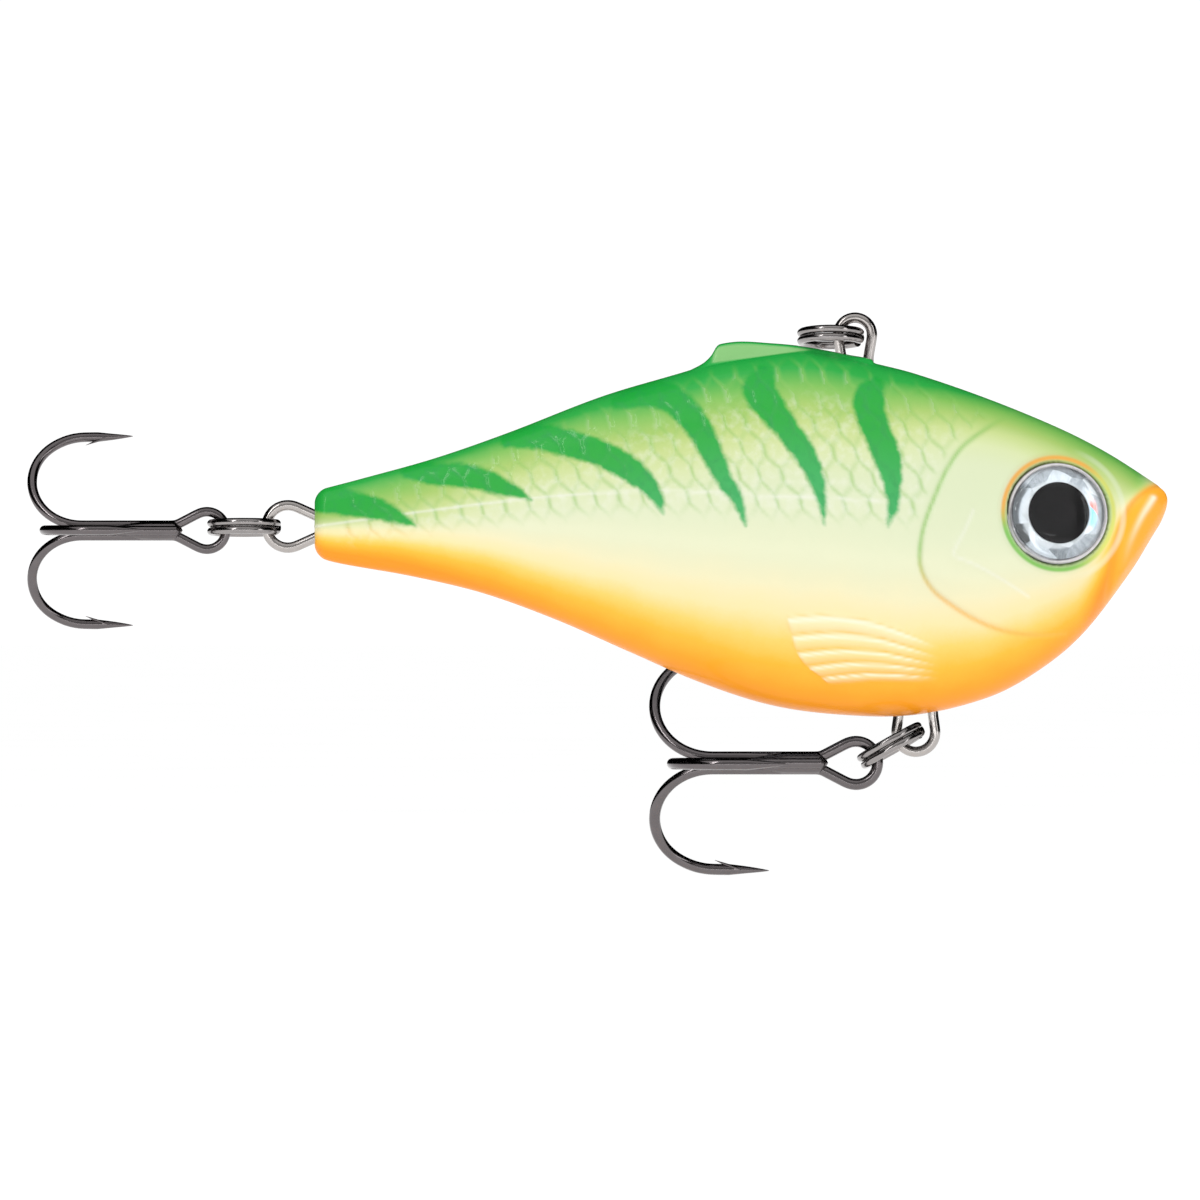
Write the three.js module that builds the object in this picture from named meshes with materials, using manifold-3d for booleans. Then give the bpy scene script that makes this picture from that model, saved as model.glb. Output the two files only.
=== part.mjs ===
// Lipless crankbait lure.  Millimetres, +X toward the nose, +Z up, +Y the fish's left side.
// The origin is the centre of the line tie's loop.
import * as THREE from 'three';
import { mergeVertices } from 'three/addons/utils/BufferGeometryUtils.js';
import Module from 'manifold-3d';

const wasm = await Module();
wasm.setup();

// ---------- driving dimensions ----------
const TAIL_X = -44.4;                 // rear end of the body
const NOSE_X = 25.6;                  // tip of the nose
const HALF_THICK = 6;                 // half of the body's greatest thickness
const WALL = 1.4;                     // moulded wall
const FIN_THICK = 2.4;                // ridge along the back
const FIT = 0.08;                     // room around a wire held in the plastic
const TAIL_AXIS_Z = -15.5;            // height the tail end rounds in to
const NOSE_AXIS_Z = -13.8;            // height the nose rounds in to

const HANGER_WIRE = 0.86;
const RING_WIRE = 0.62;
const RING_LIFT = 0.33;               // each coil's height off the ring's middle plane
const RING_START = 25;                // degrees round from the ring's front to its wire's first end
const RING_TURN = 690;                // degrees its wire runs, a little less than two turns
const CLIMB_START = 325;              // degrees along it where it climbs to the second coil
const CLIMB_LENGTH = 35;
const WIRE_SIDES = 8;

const EYE_X = 16.42;
const EYE_Z = -14.8;
const EYE_RADIUS = 4.2;
const FOIL_RADIUS = 3.5;
const PUPIL_RADIUS = 2.42;
const EYE_GAP = 0.15;                 // glue line between the parts of an eye
const EYE_DEPTH = 1.5;                // depth of the moulded socket

// Rattle cells: one row of rooms between a shelf and a roof.
const RIB = 1.2;
const SHELF_Z = -20.4;                // top face of the shelf
const ROOF_Z = -13.6;                 // under face of the roof
const CELL_PITCH = 10.5;
const CELL_START_X = -21;             // middle of the rearmost bulkhead

const vec = (x, y, z) => new THREE.Vector3(x, y, z);
const X = vec(1, 0, 0);
const Y = vec(0, 1, 0);
const Z = vec(0, 0, 1);

// ---------- materials ----------
const paint = new THREE.MeshStandardMaterial({ color: 0xd6e8a8, roughness: 0.25, metalness: 0 });
const paintFar = paint.clone();
const hangerSteel = new THREE.MeshStandardMaterial({ color: 0x9a9692, roughness: 0.3, metalness: 1 });
const ringSteel = new THREE.MeshStandardMaterial({ color: 0x77716f, roughness: 0.28, metalness: 1 });
const hookSteel = new THREE.MeshStandardMaterial({ color: 0x4c4746, roughness: 0.28, metalness: 1 });
const foil = new THREE.MeshStandardMaterial({ color: 0xc9c7c4, roughness: 0.2, metalness: 0.9 });
const black = new THREE.MeshStandardMaterial({ color: 0x0c0b0b, roughness: 0.4, metalness: 0 });
const clear = new THREE.MeshStandardMaterial({
  color: 0xf2f4f4, roughness: 0.05, metalness: 0, transparent: true, opacity: 0.25,
});
const lead = new THREE.MeshStandardMaterial({ color: 0x6d6f73, roughness: 0.6, metalness: 0.8 });
const ballSteel = new THREE.MeshStandardMaterial({ color: 0xb8b8ba, roughness: 0.15, metalness: 1 });

const group = new THREE.Group();
group.name = 'crankbait_lure';

// ---------- joining and cutting ----------
function solid(geometry) {
  geometry.deleteAttribute('normal');
  geometry.deleteAttribute('uv');
  const merged = mergeVertices(geometry, 1e-5);
  return new wasm.Manifold(new wasm.Mesh({
    numProp: 3,
    vertProperties: merged.attributes.position.array,
    triVerts: merged.index.array,
  }));
}

function geometryOf(manifold) {
  const mesh = manifold.getMesh();
  const geometry = new THREE.BufferGeometry();
  geometry.setAttribute('position', new THREE.BufferAttribute(mesh.vertProperties, 3));
  geometry.setIndex(new THREE.BufferAttribute(mesh.triVerts, 1));
  geometry.computeVertexNormals();
  return geometry;
}

function piece(name, manifold, material) {
  const mesh = new THREE.Mesh(geometryOf(manifold), material.clone());
  mesh.name = name;
  group.add(mesh);
}

function box(low, high) {
  const size = high.clone().sub(low);
  const middle = low.clone().add(high).multiplyScalar(0.5);
  return solid(new THREE.BoxGeometry(size.x, size.y, size.z).translate(middle.x, middle.y, middle.z));
}

function rodAcross(x, z, radius, fromY, toY) {
  const rod = new THREE.CylinderGeometry(radius, radius, toY - fromY, 16);
  return solid(rod.translate(x, (fromY + toY) / 2, z));
}

// ---------- curves ----------
// Smooth curve z(x) through points in order of x.
function profile(points) {
  const slopes = points.map((point, i) => {
    const before = points[Math.max(i - 1, 0)];
    const after = points[Math.min(i + 1, points.length - 1)];
    return (after[1] - before[1]) / (after[0] - before[0]);
  });
  return (x) => {
    const last = points.length - 2;
    const i = Math.min(Math.max(points.findIndex((point) => point[0] > x) - 1, 0), last);
    const at = x >= points[last + 1][0] ? last : i;
    const span = points[at + 1][0] - points[at][0];
    const t = (x - points[at][0]) / span;
    const rise = points[at + 1][1] - points[at][1];
    const a = slopes[at] * span - rise;
    const b = -slopes[at + 1] * span + rise;
    return points[at][1] + rise * t + t * (1 - t) * (a * (1 - t) + b * t);
  };
}

// Points along an arc, centre + radius (u cos a + v sin a), a in degrees.
function arc(centre, radius, u, v, from, to, steps) {
  return Array.from({ length: steps + 1 }, (_, i) => {
    const angle = THREE.MathUtils.degToRad(from + (to - from) * i / steps);
    return centre.clone()
      .addScaledVector(u, radius * Math.cos(angle))
      .addScaledVector(v, radius * Math.sin(angle));
  });
}

// Closed skin over a row of rings, each an equal number of points, with a flat cap at both ends.
function skin(rings) {
  const sides = rings[0].length;
  const positions = rings.flat().flatMap((point) => point.toArray());
  const faces = [];
  for (let i = 0; i + 1 < rings.length; i += 1) {
    for (let j = 0; j < sides; j += 1) {
      const a = i * sides + j;
      const b = i * sides + (j + 1) % sides;
      faces.push(a, b, b + sides, a, b + sides, a + sides);
    }
  }
  const end = (rings.length - 1) * sides;
  for (let j = 1; j + 1 < sides; j += 1) {
    faces.push(0, j + 1, j);
    faces.push(end, end + j, end + j + 1);
  }
  const geometry = new THREE.BufferGeometry();
  geometry.setAttribute('position', new THREE.Float32BufferAttribute(positions, 3));
  geometry.setIndex(faces);
  return solid(geometry);
}

// Round wire along a row of points.  radiusAt takes the point's place along the row, 0 to 1.
function wire(points, radiusAt) {
  const tangentAt = (i) => points[Math.min(i + 1, points.length - 1)].clone()
    .sub(points[Math.max(i - 1, 0)]).normalize();
  const start = tangentAt(0);
  let normal = Math.abs(start.y) < 0.9 ? Y.clone() : X.clone();
  const rings = points.map((point, i) => {
    const tangent = tangentAt(i);
    normal = normal.addScaledVector(tangent, -normal.dot(tangent)).normalize();
    const side = tangent.clone().cross(normal);
    const radius = radiusAt(i / (points.length - 1));
    return arc(point, radius, normal, side, 0, 360, WIRE_SIDES).slice(0, WIRE_SIDES);
  });
  return skin(rings);
}

// ---------- body ----------
const backLine = profile([
  [TAIL_X - 0.2, -12.9], [-40.4, -11.8], [-34.5, -10.15], [-28.6, -8.1], [-20.7, -5.05],
  [-12.8, -2.6], [-6, -1.75], [-1, -1.8], [4.9, -3.2], [10.85, -5.25], [16.8, -7.7],
  [20.7, -9.7], [24.6, -12.2], [NOSE_X + 0.1, -13],
]);
const bellyLine = profile([
  [TAIL_X - 0.2, -18.2], [-42.4, -18.8], [-36.5, -19.85], [-30.6, -21.25], [-24.65, -23.4],
  [-18.7, -26], [-12.8, -28.55], [-6.9, -30.45], [-1, -31.25], [4.9, -31.25], [10.85, -29.85],
  [14.8, -27.8], [18.7, -24.6], [22.7, -19.4], [24.6, -16.3], [NOSE_X + 0.1, -14.6],
]);
const halfWidth = profile([
  [TAIL_X - 0.2, 1.3], [-36, 2.1], [-28, 3.2], [-18, 4.6], [-8, 5.65], [2, HALF_THICK],
  [10, 5.8], [16, 5.1], [21, 3.9], [24.5, 2.4], [NOSE_X + 0.1, 1.7],
]);

const SECTION_FULLNESS = 2.2;         // 2 would be an ellipse
const TAIL_ROUND = 1;
const NOSE_ROUND_HEIGHT = 0.9;
const NOSE_ROUND_WIDTH = 2.2;

// How far open the section is at a distance from an end that is rounded over a given radius.
function rounding(distance, radius) {
  const t = 1 - Math.min(distance / radius, 1);
  return Math.sqrt(Math.max(1 - t * t, 0));
}

// One cross-section of the body as a closed ring of points, drawn in by inset all round.
function section(x, inset, sides) {
  const fromTail = x - TAIL_X - inset;
  const fromNose = NOSE_X - inset - x;
  const axis = fromTail < fromNose ? TAIL_AXIS_Z : NOSE_AXIS_Z;
  const tall = rounding(fromTail, TAIL_ROUND) * rounding(fromNose, NOSE_ROUND_HEIGHT);
  const wide = rounding(fromTail, TAIL_ROUND) * rounding(fromNose, NOSE_ROUND_WIDTH);
  const top = axis + (backLine(x) - inset - axis) * tall;
  const bottom = axis + (bellyLine(x) + inset - axis) * tall;
  const half = (halfWidth(x) - inset) * wide;
  const power = 2 / SECTION_FULLNESS;
  return Array.from({ length: sides }, (_, i) => {
    const angle = -2 * Math.PI * i / sides;
    const across = Math.sign(Math.sin(angle)) * Math.abs(Math.sin(angle)) ** power;
    const up = Math.sign(Math.cos(angle)) * Math.abs(Math.cos(angle)) ** power;
    return vec(x, half * across, (top + bottom) / 2 + (top - bottom) / 2 * up);
  });
}

// The body between two stations, stations closer together toward the ends.
function bodySolid(fromX, toX, inset, stations, sides) {
  const rings = Array.from({ length: stations + 1 }, (_, i) => {
    const t = (1 - Math.cos(Math.PI * (i + 0.25) / (stations + 0.5))) / 2;
    return section(fromX + (toX - fromX) * t, inset, sides);
  });
  return skin(rings);
}

// Ridge along the back: hollow rise at its rear, flat top, small step down at its front.
function backRidge() {
  const outline = new THREE.Shape();
  outline.moveTo(-13.4, -4.5);
  outline.lineTo(-13.4, -2.75);
  outline.quadraticCurveTo(-12.2, -2.2, -11.8, -1.5);
  outline.quadraticCurveTo(-11.3, -0.62, -10.2, -0.58);
  outline.lineTo(-6.9, -0.72);
  outline.lineTo(-3, -1.25);
  outline.lineTo(1.2, -1.95);
  outline.quadraticCurveTo(1.6, -2.05, 1.7, -2.5);
  outline.lineTo(1.9, -4.5);
  outline.closePath();
  const plate = new THREE.ExtrudeGeometry(outline, {
    depth: FIN_THICK, bevelEnabled: false, curveSegments: 5,
  });
  plate.rotateX(Math.PI / 2).translate(0, FIN_THICK / 2, 0);
  return solid(plate);
}

// ---------- wires moulded into the body ----------
const LINE_TIE = { x: 0, z: 0, loop: 1.41, neck: 1.9, foot: 6.6, toe: 1.6, spread: 1.1, out: Z };
const BELLY_HANGER = {
  x: 5, z: -32.7, loop: 1.6, neck: 1.5, foot: 6.4, toe: 1.6, spread: 1.4, out: Z.clone().negate(),
};
const TAIL_HANGER = {
  x: -46.6, z: -15.77, loop: 1.76, neck: 2.9, foot: 9, toe: 1.1, spread: 0.62, out: X.clone().negate(),
};

const TOE_BEND = 0.5;                 // size of the corner where a leg turns out to its toe

// A loop outside, two legs into the body, and a toe turned outward at the end of each leg.
function hangerPoints(hanger) {
  const centre = vec(hanger.x, 0, hanger.z);
  const out = hanger.out;
  const side = out.clone().cross(Y);
  const at = (along, across) => centre.clone().addScaledVector(out, along).addScaledVector(side, across);
  const far = Math.hypot(hanger.neck, hanger.spread);
  const open = THREE.MathUtils.radToDeg(
    Math.PI - Math.atan2(hanger.spread, hanger.neck) - Math.acos(Math.min(hanger.loop / far, 1)));
  return [
    at(-hanger.foot, -hanger.spread - hanger.toe),
    at(-hanger.foot, -hanger.spread - TOE_BEND),
    at(-hanger.foot + TOE_BEND, -hanger.spread),
    at(-hanger.neck, -hanger.spread),
    ...arc(centre, hanger.loop, out, side, -open, open, 16),
    at(-hanger.neck, hanger.spread),
    at(-hanger.foot + TOE_BEND, hanger.spread),
    at(-hanger.foot, hanger.spread + TOE_BEND),
    at(-hanger.foot, hanger.spread + hanger.toe),
  ];
}

const hangers = [LINE_TIE, BELLY_HANGER, TAIL_HANGER];
const hangerWire = (hanger, extra) => wire(hangerPoints(hanger), () => HANGER_WIRE / 2 + extra);

// ---------- eyes ----------
// Places geometry built round +Z so that +Z points out of the socket on one side of the head.
const EYE_TILT_NOSE = 11;             // degrees the eye faces forward
const EYE_TILT_UP = 7;                // degrees it faces up
const EYE_FLOOR_Y = 3.6;              // socket floor's distance from the middle plane

function placeEye(geometry, sign) {
  geometry.rotateX(-sign * Math.PI / 2 + sign * THREE.MathUtils.degToRad(EYE_TILT_UP));
  geometry.rotateZ(-sign * THREE.MathUtils.degToRad(EYE_TILT_NOSE));
  geometry.translate(EYE_X, sign * EYE_FLOOR_Y, EYE_Z);
  return solid(geometry);
}

function disc(radius, thickness, lift, segments) {
  const cylinder = new THREE.CylinderGeometry(radius, radius, thickness, segments);
  return cylinder.rotateX(Math.PI / 2).translate(0, 0, lift + thickness / 2);
}

function lathe(points, segments) {
  const outline = points.map(([radius, height]) => new THREE.Vector2(radius, height));
  return new THREE.LatheGeometry(outline, segments).rotateX(Math.PI / 2);
}

const FOIL_THICK = 0.3;
const DOME_EDGE = 0.35;
const DOME_RISE = 1.15;
const DOME_ROOM = 0.05;               // the dome's edge stops this far short of the socket's wall
const DOME_STEPS = 5;

function foilRing() {
  const inner = PUPIL_RADIUS + EYE_GAP / 2;
  const low = EYE_GAP;
  const high = EYE_GAP + FOIL_THICK;
  return lathe([[inner, low], [FOIL_RADIUS, low], [FOIL_RADIUS, high], [inner, high], [inner, low]], 32);
}

function dome() {
  const low = 2 * EYE_GAP + FOIL_THICK;
  const edge = EYE_RADIUS - DOME_ROOM;
  const points = [[0, low], [edge, low], [edge, low + DOME_EDGE]];
  for (let i = 1; i < DOME_STEPS; i += 1) {
    const angle = Math.PI / 2 * i / DOME_STEPS;
    points.push([edge * Math.cos(angle), low + DOME_EDGE + DOME_RISE * Math.sin(angle)]);
  }
  points.push([0, low + DOME_EDGE + DOME_RISE]);
  return lathe(points, 32);
}

// ---------- split rings ----------
const TAIL_RING = { x: -50.19, z: -15.85, radius: 2.72, tilt: 0 };
const BELLY_RING = { x: 2.99, z: -33.76, radius: 2.69, tilt: 29.4 };
const LINE_RING = { x: -1.99, z: -0.2, radius: 2.44, tilt: 0 };

// Two turns of wire; the lower coil climbs to the upper one just before it meets its own start.
function splitRing(ring) {
  const tilt = THREE.MathUtils.degToRad(ring.tilt);
  const along = vec(Math.cos(tilt), 0, Math.sin(tilt));
  const up = vec(-Math.sin(tilt), 0, Math.cos(tilt));
  const centre = vec(ring.x, 0, ring.z);
  const steps = 46;
  const points = arc(centre, ring.radius, along, Y, RING_START, RING_START + RING_TURN, steps);
  points.forEach((point, i) => {
    const climbed = THREE.MathUtils.clamp((RING_TURN * i / steps - CLIMB_START) / CLIMB_LENGTH, 0, 1);
    point.addScaledVector(up, RING_LIFT * (2 * climbed - 1));
  });
  return wire(points, () => RING_WIRE / 2);
}

// ---------- treble hooks ----------
const HOOK_SIZE = 0.8;                // wire of the tail hook; the other sizes are its multiples
const TAIL_HOOK = { x: -53.24, z: -16.1, scale: 1 };
const BELLY_HOOK = { x: 0.085, z: -35.2, scale: 1.145 };
const EYE_LOOP = 1.56;
const SHANK_APART = 0.43;             // each shank wire's distance from the hook's axis
const NECK = 2.55;
const BEND_START = 10.1;
const BEND = 4.45;
const BEND_DEPTH = 4.35;              // a little shallower than a half circle
const POINT_LENGTH = 3.9;
const POINT_LEAN = 0.1;               // how far the tip leans out from the line of the shank
const THIRD_SHIFT = 1.25;             // how much nearer the eye the third point sits
const THIRD_START = 2.5;
const THIRD_LIFT = 0.05;              // braze between the third wire and the other two
const BARB_AT = 0.9;                  // barb's distance along the point from the end of the bend
const BARB_INSET = 0.35;
const BARB_RADIUS = 0.26;
const BARB_LENGTH = 1.25;
const BARB_LEAN = 0.4;                // how far the barb leans inward for each unit it leans back
const TIP_RADII = [0.12, 0.7];        // share of the wire's radius left at the last two points

// From the shank round the bend to the point, in the plane of the shank and a direction out from it.
function prong(hook, out, shift, offset) {
  const s = hook.scale;
  const back = X.clone().negate();
  const axis = vec(hook.x, 0, hook.z);
  const at = (along, across) => axis.clone()
    .addScaledVector(back, s * (along - shift)).addScaledVector(out, s * across);
  const points = [];
  const steps = 12;
  for (let i = 0; i <= steps; i += 1) {
    const angle = Math.PI * (i / steps - 0.5);
    points.push(at(BEND_START + BEND_DEPTH * Math.cos(angle), offset + BEND * (1 + Math.sin(angle))));
  }
  const height = offset + 2 * BEND;
  points.push(at(BEND_START - POINT_LENGTH * 0.55, height + POINT_LEAN * 0.3));
  points.push(at(BEND_START - POINT_LENGTH, height + POINT_LEAN));
  return points;
}

// Raised spur on the inner side of a point, leaning back toward the bend.
function barb(hook, out, shift, offset) {
  const s = hook.scale;
  const height = offset + 2 * BEND;
  const spur = new THREE.ConeGeometry(BARB_RADIUS * s, BARB_LENGTH * s, 6);
  const toBend = vec(-1, 0, 0).addScaledVector(out, -BARB_LEAN).normalize();
  spur.applyQuaternion(new THREE.Quaternion().setFromUnitVectors(Y, toBend));
  const place = vec(hook.x, 0, hook.z)
    .addScaledVector(X, -s * (BEND_START - BARB_AT - shift))
    .addScaledVector(out, s * (height - BARB_INSET));
  return solid(spur.translate(place.x, place.y, place.z));
}

const outAt = (degrees) => vec(0, -Math.cos(THREE.MathUtils.degToRad(degrees)),
  Math.sin(THREE.MathUtils.degToRad(degrees)));

// Full wire up to the last two points, which taper to the tip.
const taper = (pointsFromEnd, radius) => radius * (TIP_RADII[Math.round(pointsFromEnd)] ?? 1);

// One wire bent into two points with the eye between them.
function hookDouble(hook) {
  const s = hook.scale;
  const radius = HOOK_SIZE * s / 2;
  const axis = vec(hook.x, 0, hook.z);
  const upper = outAt(120);
  const lower = outAt(-120);
  const at = (along, z) => axis.clone().add(vec(-s * along, 0, s * z));
  const far = Math.hypot(NECK, SHANK_APART);
  const open = 180 - THREE.MathUtils.radToDeg(Math.atan2(SHANK_APART, NECK) + Math.acos(EYE_LOOP / far));
  const half = (out, sign) => {
    const bend = prong(hook, out, 0, 0).map((point, i) => {
      const fade = Math.max(1 - i / 10, 0);
      return point.add(vec(0, 0, sign * s * SHANK_APART * fade));
    });
    return [at(NECK, sign * SHANK_APART), at(NECK + 1.2, sign * SHANK_APART), ...bend];
  };
  const points = [
    ...half(lower, -1).reverse(),
    ...arc(axis, s * EYE_LOOP, X, Z, -open, open, 14),
    ...half(upper, 1),
  ];
  const count = points.length - 1;
  const body = wire(points, (t) => taper(Math.min(t, 1 - t) * count, radius));
  return body.add(barb(hook, upper, 0, 0)).add(barb(hook, lower, 0, 0));
}

// The third point: its own wire, brazed along the other two and set a little nearer the eye.
function hookThird(hook) {
  const s = hook.scale;
  const radius = HOOK_SIZE * s / 2;
  const out = outAt(0);
  const offset = Math.sqrt(HOOK_SIZE ** 2 - SHANK_APART ** 2) + THIRD_LIFT;
  const bend = prong(hook, out, THIRD_SHIFT, offset);
  const start = vec(hook.x - s * THIRD_START, -s * offset, hook.z);
  const points = [start, start.clone().addScaledVector(X, -s), ...bend];
  const count = points.length - 1;
  const body = wire(points, (t) => taper((1 - t) * count, radius));
  return body.add(barb(hook, out, THIRD_SHIFT, offset));
}

// ---------- inside ----------
const PEGS = [[-27, -15], [-13, -9], [12.5, -25.5]];
const PEG_RADIUS = 0.7;
const PEG_LENGTH = 2;

const BALLAST = { x: -4.5, z: -25.6, length: 8, height: 5, width: 6 };
const HEAD_WEIGHT = { x: 15.6, z: -21.6, length: 5.6, height: 4.2, width: 3.4 };
const POCKET = 0.1;                   // room round a weight in its pocket

// Solid plastic round each wire's feet, as opposite corners.
const WIRE_BLOCKS = [
  [vec(-4.2, -2.6, -8.6), vec(4.2, 2.6, -1)],
  [vec(0.6, -2.6, -31.5), vec(9.4, 2.6, -24.6)],
  [vec(TAIL_X, -3, -25), vec(-35.6, 3, -5)],
];
const HOLLOW_START_X = -36;           // the tail is solid behind this

function weightBox(weight, extra) {
  const half = vec(weight.length, weight.width, weight.height).multiplyScalar(0.5).addScalar(extra);
  const middle = vec(weight.x, 0, weight.z);
  return box(middle.clone().sub(half), middle.clone().add(half));
}

// Everything moulded inside the two halves, before it is trimmed to the body's outside.
function insides() {
  const wide = HALF_THICK;
  const cellEnd = CELL_START_X + 3 * CELL_PITCH;
  const row = (lowZ, highZ) => box(
    vec(CELL_START_X - RIB / 2, -wide, lowZ), vec(cellEnd + RIB / 2, wide, highZ));
  let inside = row(SHELF_Z - RIB, SHELF_Z).add(row(ROOF_Z, ROOF_Z + RIB));
  for (let i = 0; i <= 3; i += 1) {
    const x = CELL_START_X + i * CELL_PITCH;
    inside = inside.add(box(vec(x - RIB / 2, -wide, SHELF_Z), vec(x + RIB / 2, wide, ROOF_Z)));
  }
  for (const [low, high] of WIRE_BLOCKS) {
    inside = inside.add(box(low, high));
  }
  for (const weight of [BALLAST, HEAD_WEIGHT]) {
    inside = inside.add(weightBox(weight, RIB).subtract(weightBox(weight, POCKET)));
  }
  for (const [x, z] of PEGS) {
    inside = inside.add(rodAcross(x, z, PEG_RADIUS + RIB, -wide, wide));
  }
  for (const sign of [-1, 1]) {
    inside = inside.add(placeEye(disc(EYE_RADIUS + RIB / 2, RIB + 0.2, -RIB, 32), sign));
  }
  return inside;
}

function shell() {
  const outer = bodySolid(TAIL_X, NOSE_X, 0, 30, 24);
  const inner = bodySolid(HOLLOW_START_X, NOSE_X - WALL, WALL, 18, 16);
  let body = outer.subtract(inner).add(insides().intersect(outer)).add(backRidge());
  for (const hanger of hangers) {
    body = body.subtract(hangerWire(hanger, FIT));
  }
  for (const weight of [BALLAST, HEAD_WEIGHT]) {
    body = body.subtract(weightBox(weight, POCKET));
  }
  for (const sign of [-1, 1]) {
    body = body.subtract(placeEye(disc(EYE_RADIUS, EYE_DEPTH + 3, 0, 32), sign));
  }
  return body;
}

const body = shell();
const far = 100;
let right = body.intersect(box(vec(-far, -far, -far), vec(far, 0, far)));
let left = body.intersect(box(vec(-far, 0, -far), vec(far, far, far)));
for (const [x, z] of PEGS) {
  right = right.subtract(rodAcross(x, z, PEG_RADIUS + FIT, -PEG_LENGTH - FIT, 1));
  left = left.add(rodAcross(x, z, PEG_RADIUS, -PEG_LENGTH, 0.5));
}
piece('body_shell_right', right, paint);
piece('body_shell_left', left, paintFar);

piece('line_tie_wire', hangerWire(LINE_TIE, 0), hangerSteel);
piece('belly_hanger_wire', hangerWire(BELLY_HANGER, 0), hangerSteel);
piece('tail_hanger_wire', hangerWire(TAIL_HANGER, 0), hangerSteel);

for (const [side, sign] of [['right', -1], ['left', 1]]) {
  piece(`eye_foil_${side}`, placeEye(foilRing(), sign), foil);
  piece(`eye_pupil_${side}`, placeEye(disc(PUPIL_RADIUS, FOIL_THICK, EYE_GAP, 32), sign), black);
  piece(`eye_dome_${side}`, placeEye(dome(), sign), clear);
}

piece('belly_ballast', weightBox(BALLAST, 0), lead);
piece('head_ballast', weightBox(HEAD_WEIGHT, 0), lead);

// Each ball lies in the middle of its own cell.
const BALLS = [['rattle_ball_rear', 2.5], ['rattle_ball_middle', 2.8], ['rattle_ball_front', 3.1]];
const BALL_ROOM = 0.05;               // room under a ball
BALLS.forEach(([name, radius], i) => {
  const x = CELL_START_X + (i + 0.5) * CELL_PITCH;
  const ball = new THREE.SphereGeometry(radius, 16, 10).translate(x, 0, SHELF_Z + radius + BALL_ROOM);
  piece(name, solid(ball), ballSteel);
});

piece('line_tie_split_ring', splitRing(LINE_RING), ringSteel);
piece('tail_split_ring', splitRing(TAIL_RING), ringSteel);
piece('belly_split_ring', splitRing(BELLY_RING), ringSteel);

piece('tail_hook_double', hookDouble(TAIL_HOOK), hookSteel);
piece('tail_hook_third', hookThird(TAIL_HOOK), hookSteel);
piece('belly_hook_double', hookDouble(BELLY_HOOK), hookSteel);
piece('belly_hook_third', hookThird(BELLY_HOOK), hookSteel);

export default group;
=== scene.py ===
# %% [markdown]
# # A lipless crankbait
# The lure is a hollow plastic fish in two halves, painted green over pearl and orange. Bent wires moulded
# into it carry split rings, and the rings carry treble hooks. The engineering model already fixes every
# size and joint, so this lesson only makes fine surfaces and finishes that sit in the same place.

# %% Load the engineering model
import math

import bpy
import numpy as np
from mathutils import Matrix, Vector


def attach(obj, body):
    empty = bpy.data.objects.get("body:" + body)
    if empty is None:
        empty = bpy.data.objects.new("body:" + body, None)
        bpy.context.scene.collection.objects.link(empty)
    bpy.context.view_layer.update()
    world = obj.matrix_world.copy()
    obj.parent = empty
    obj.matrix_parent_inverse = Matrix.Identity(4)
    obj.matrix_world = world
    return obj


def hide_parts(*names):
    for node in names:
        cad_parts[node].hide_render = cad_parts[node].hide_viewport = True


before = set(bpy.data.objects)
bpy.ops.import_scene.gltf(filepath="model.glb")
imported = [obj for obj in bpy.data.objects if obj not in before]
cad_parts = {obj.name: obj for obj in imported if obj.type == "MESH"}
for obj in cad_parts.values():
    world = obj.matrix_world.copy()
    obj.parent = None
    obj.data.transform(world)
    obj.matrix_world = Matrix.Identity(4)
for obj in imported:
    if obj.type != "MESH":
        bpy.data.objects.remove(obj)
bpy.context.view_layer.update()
MM = 0.001

# %% [markdown]
# ## Camera
# A long lens far away keeps the side view almost flat, which shows a lure's true outline. The camera
# looks along +Y at the fish's right side.

# %% Camera
VIEW_WIDTH = 98.6 * MM
VIEW_CENTRE = Vector((-20.95, 0, -21.81)) * MM
CAMERA_DISTANCE = 1.4
SENSOR = 36

camera = bpy.data.objects.new("camera", bpy.data.cameras.new("camera"))
bpy.context.scene.collection.objects.link(camera)
camera.data.sensor_width = SENSOR
camera.data.lens = SENSOR * CAMERA_DISTANCE / VIEW_WIDTH
camera.data.clip_start = 0.01
camera.location = VIEW_CENTRE - Vector((0, CAMERA_DISTANCE, 0))
camera.rotation_euler = (math.pi / 2, 0, 0)
bpy.context.scene.camera = camera
print("lens", round(camera.data.lens), "mm")

# %% [markdown]
# ## Shader maths
# Long chains of Math nodes are hard to read, so one small class wraps a socket and lets an ordinary
# expression such as `1 - mask * 2` build them. Every other node comes from one method.


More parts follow.
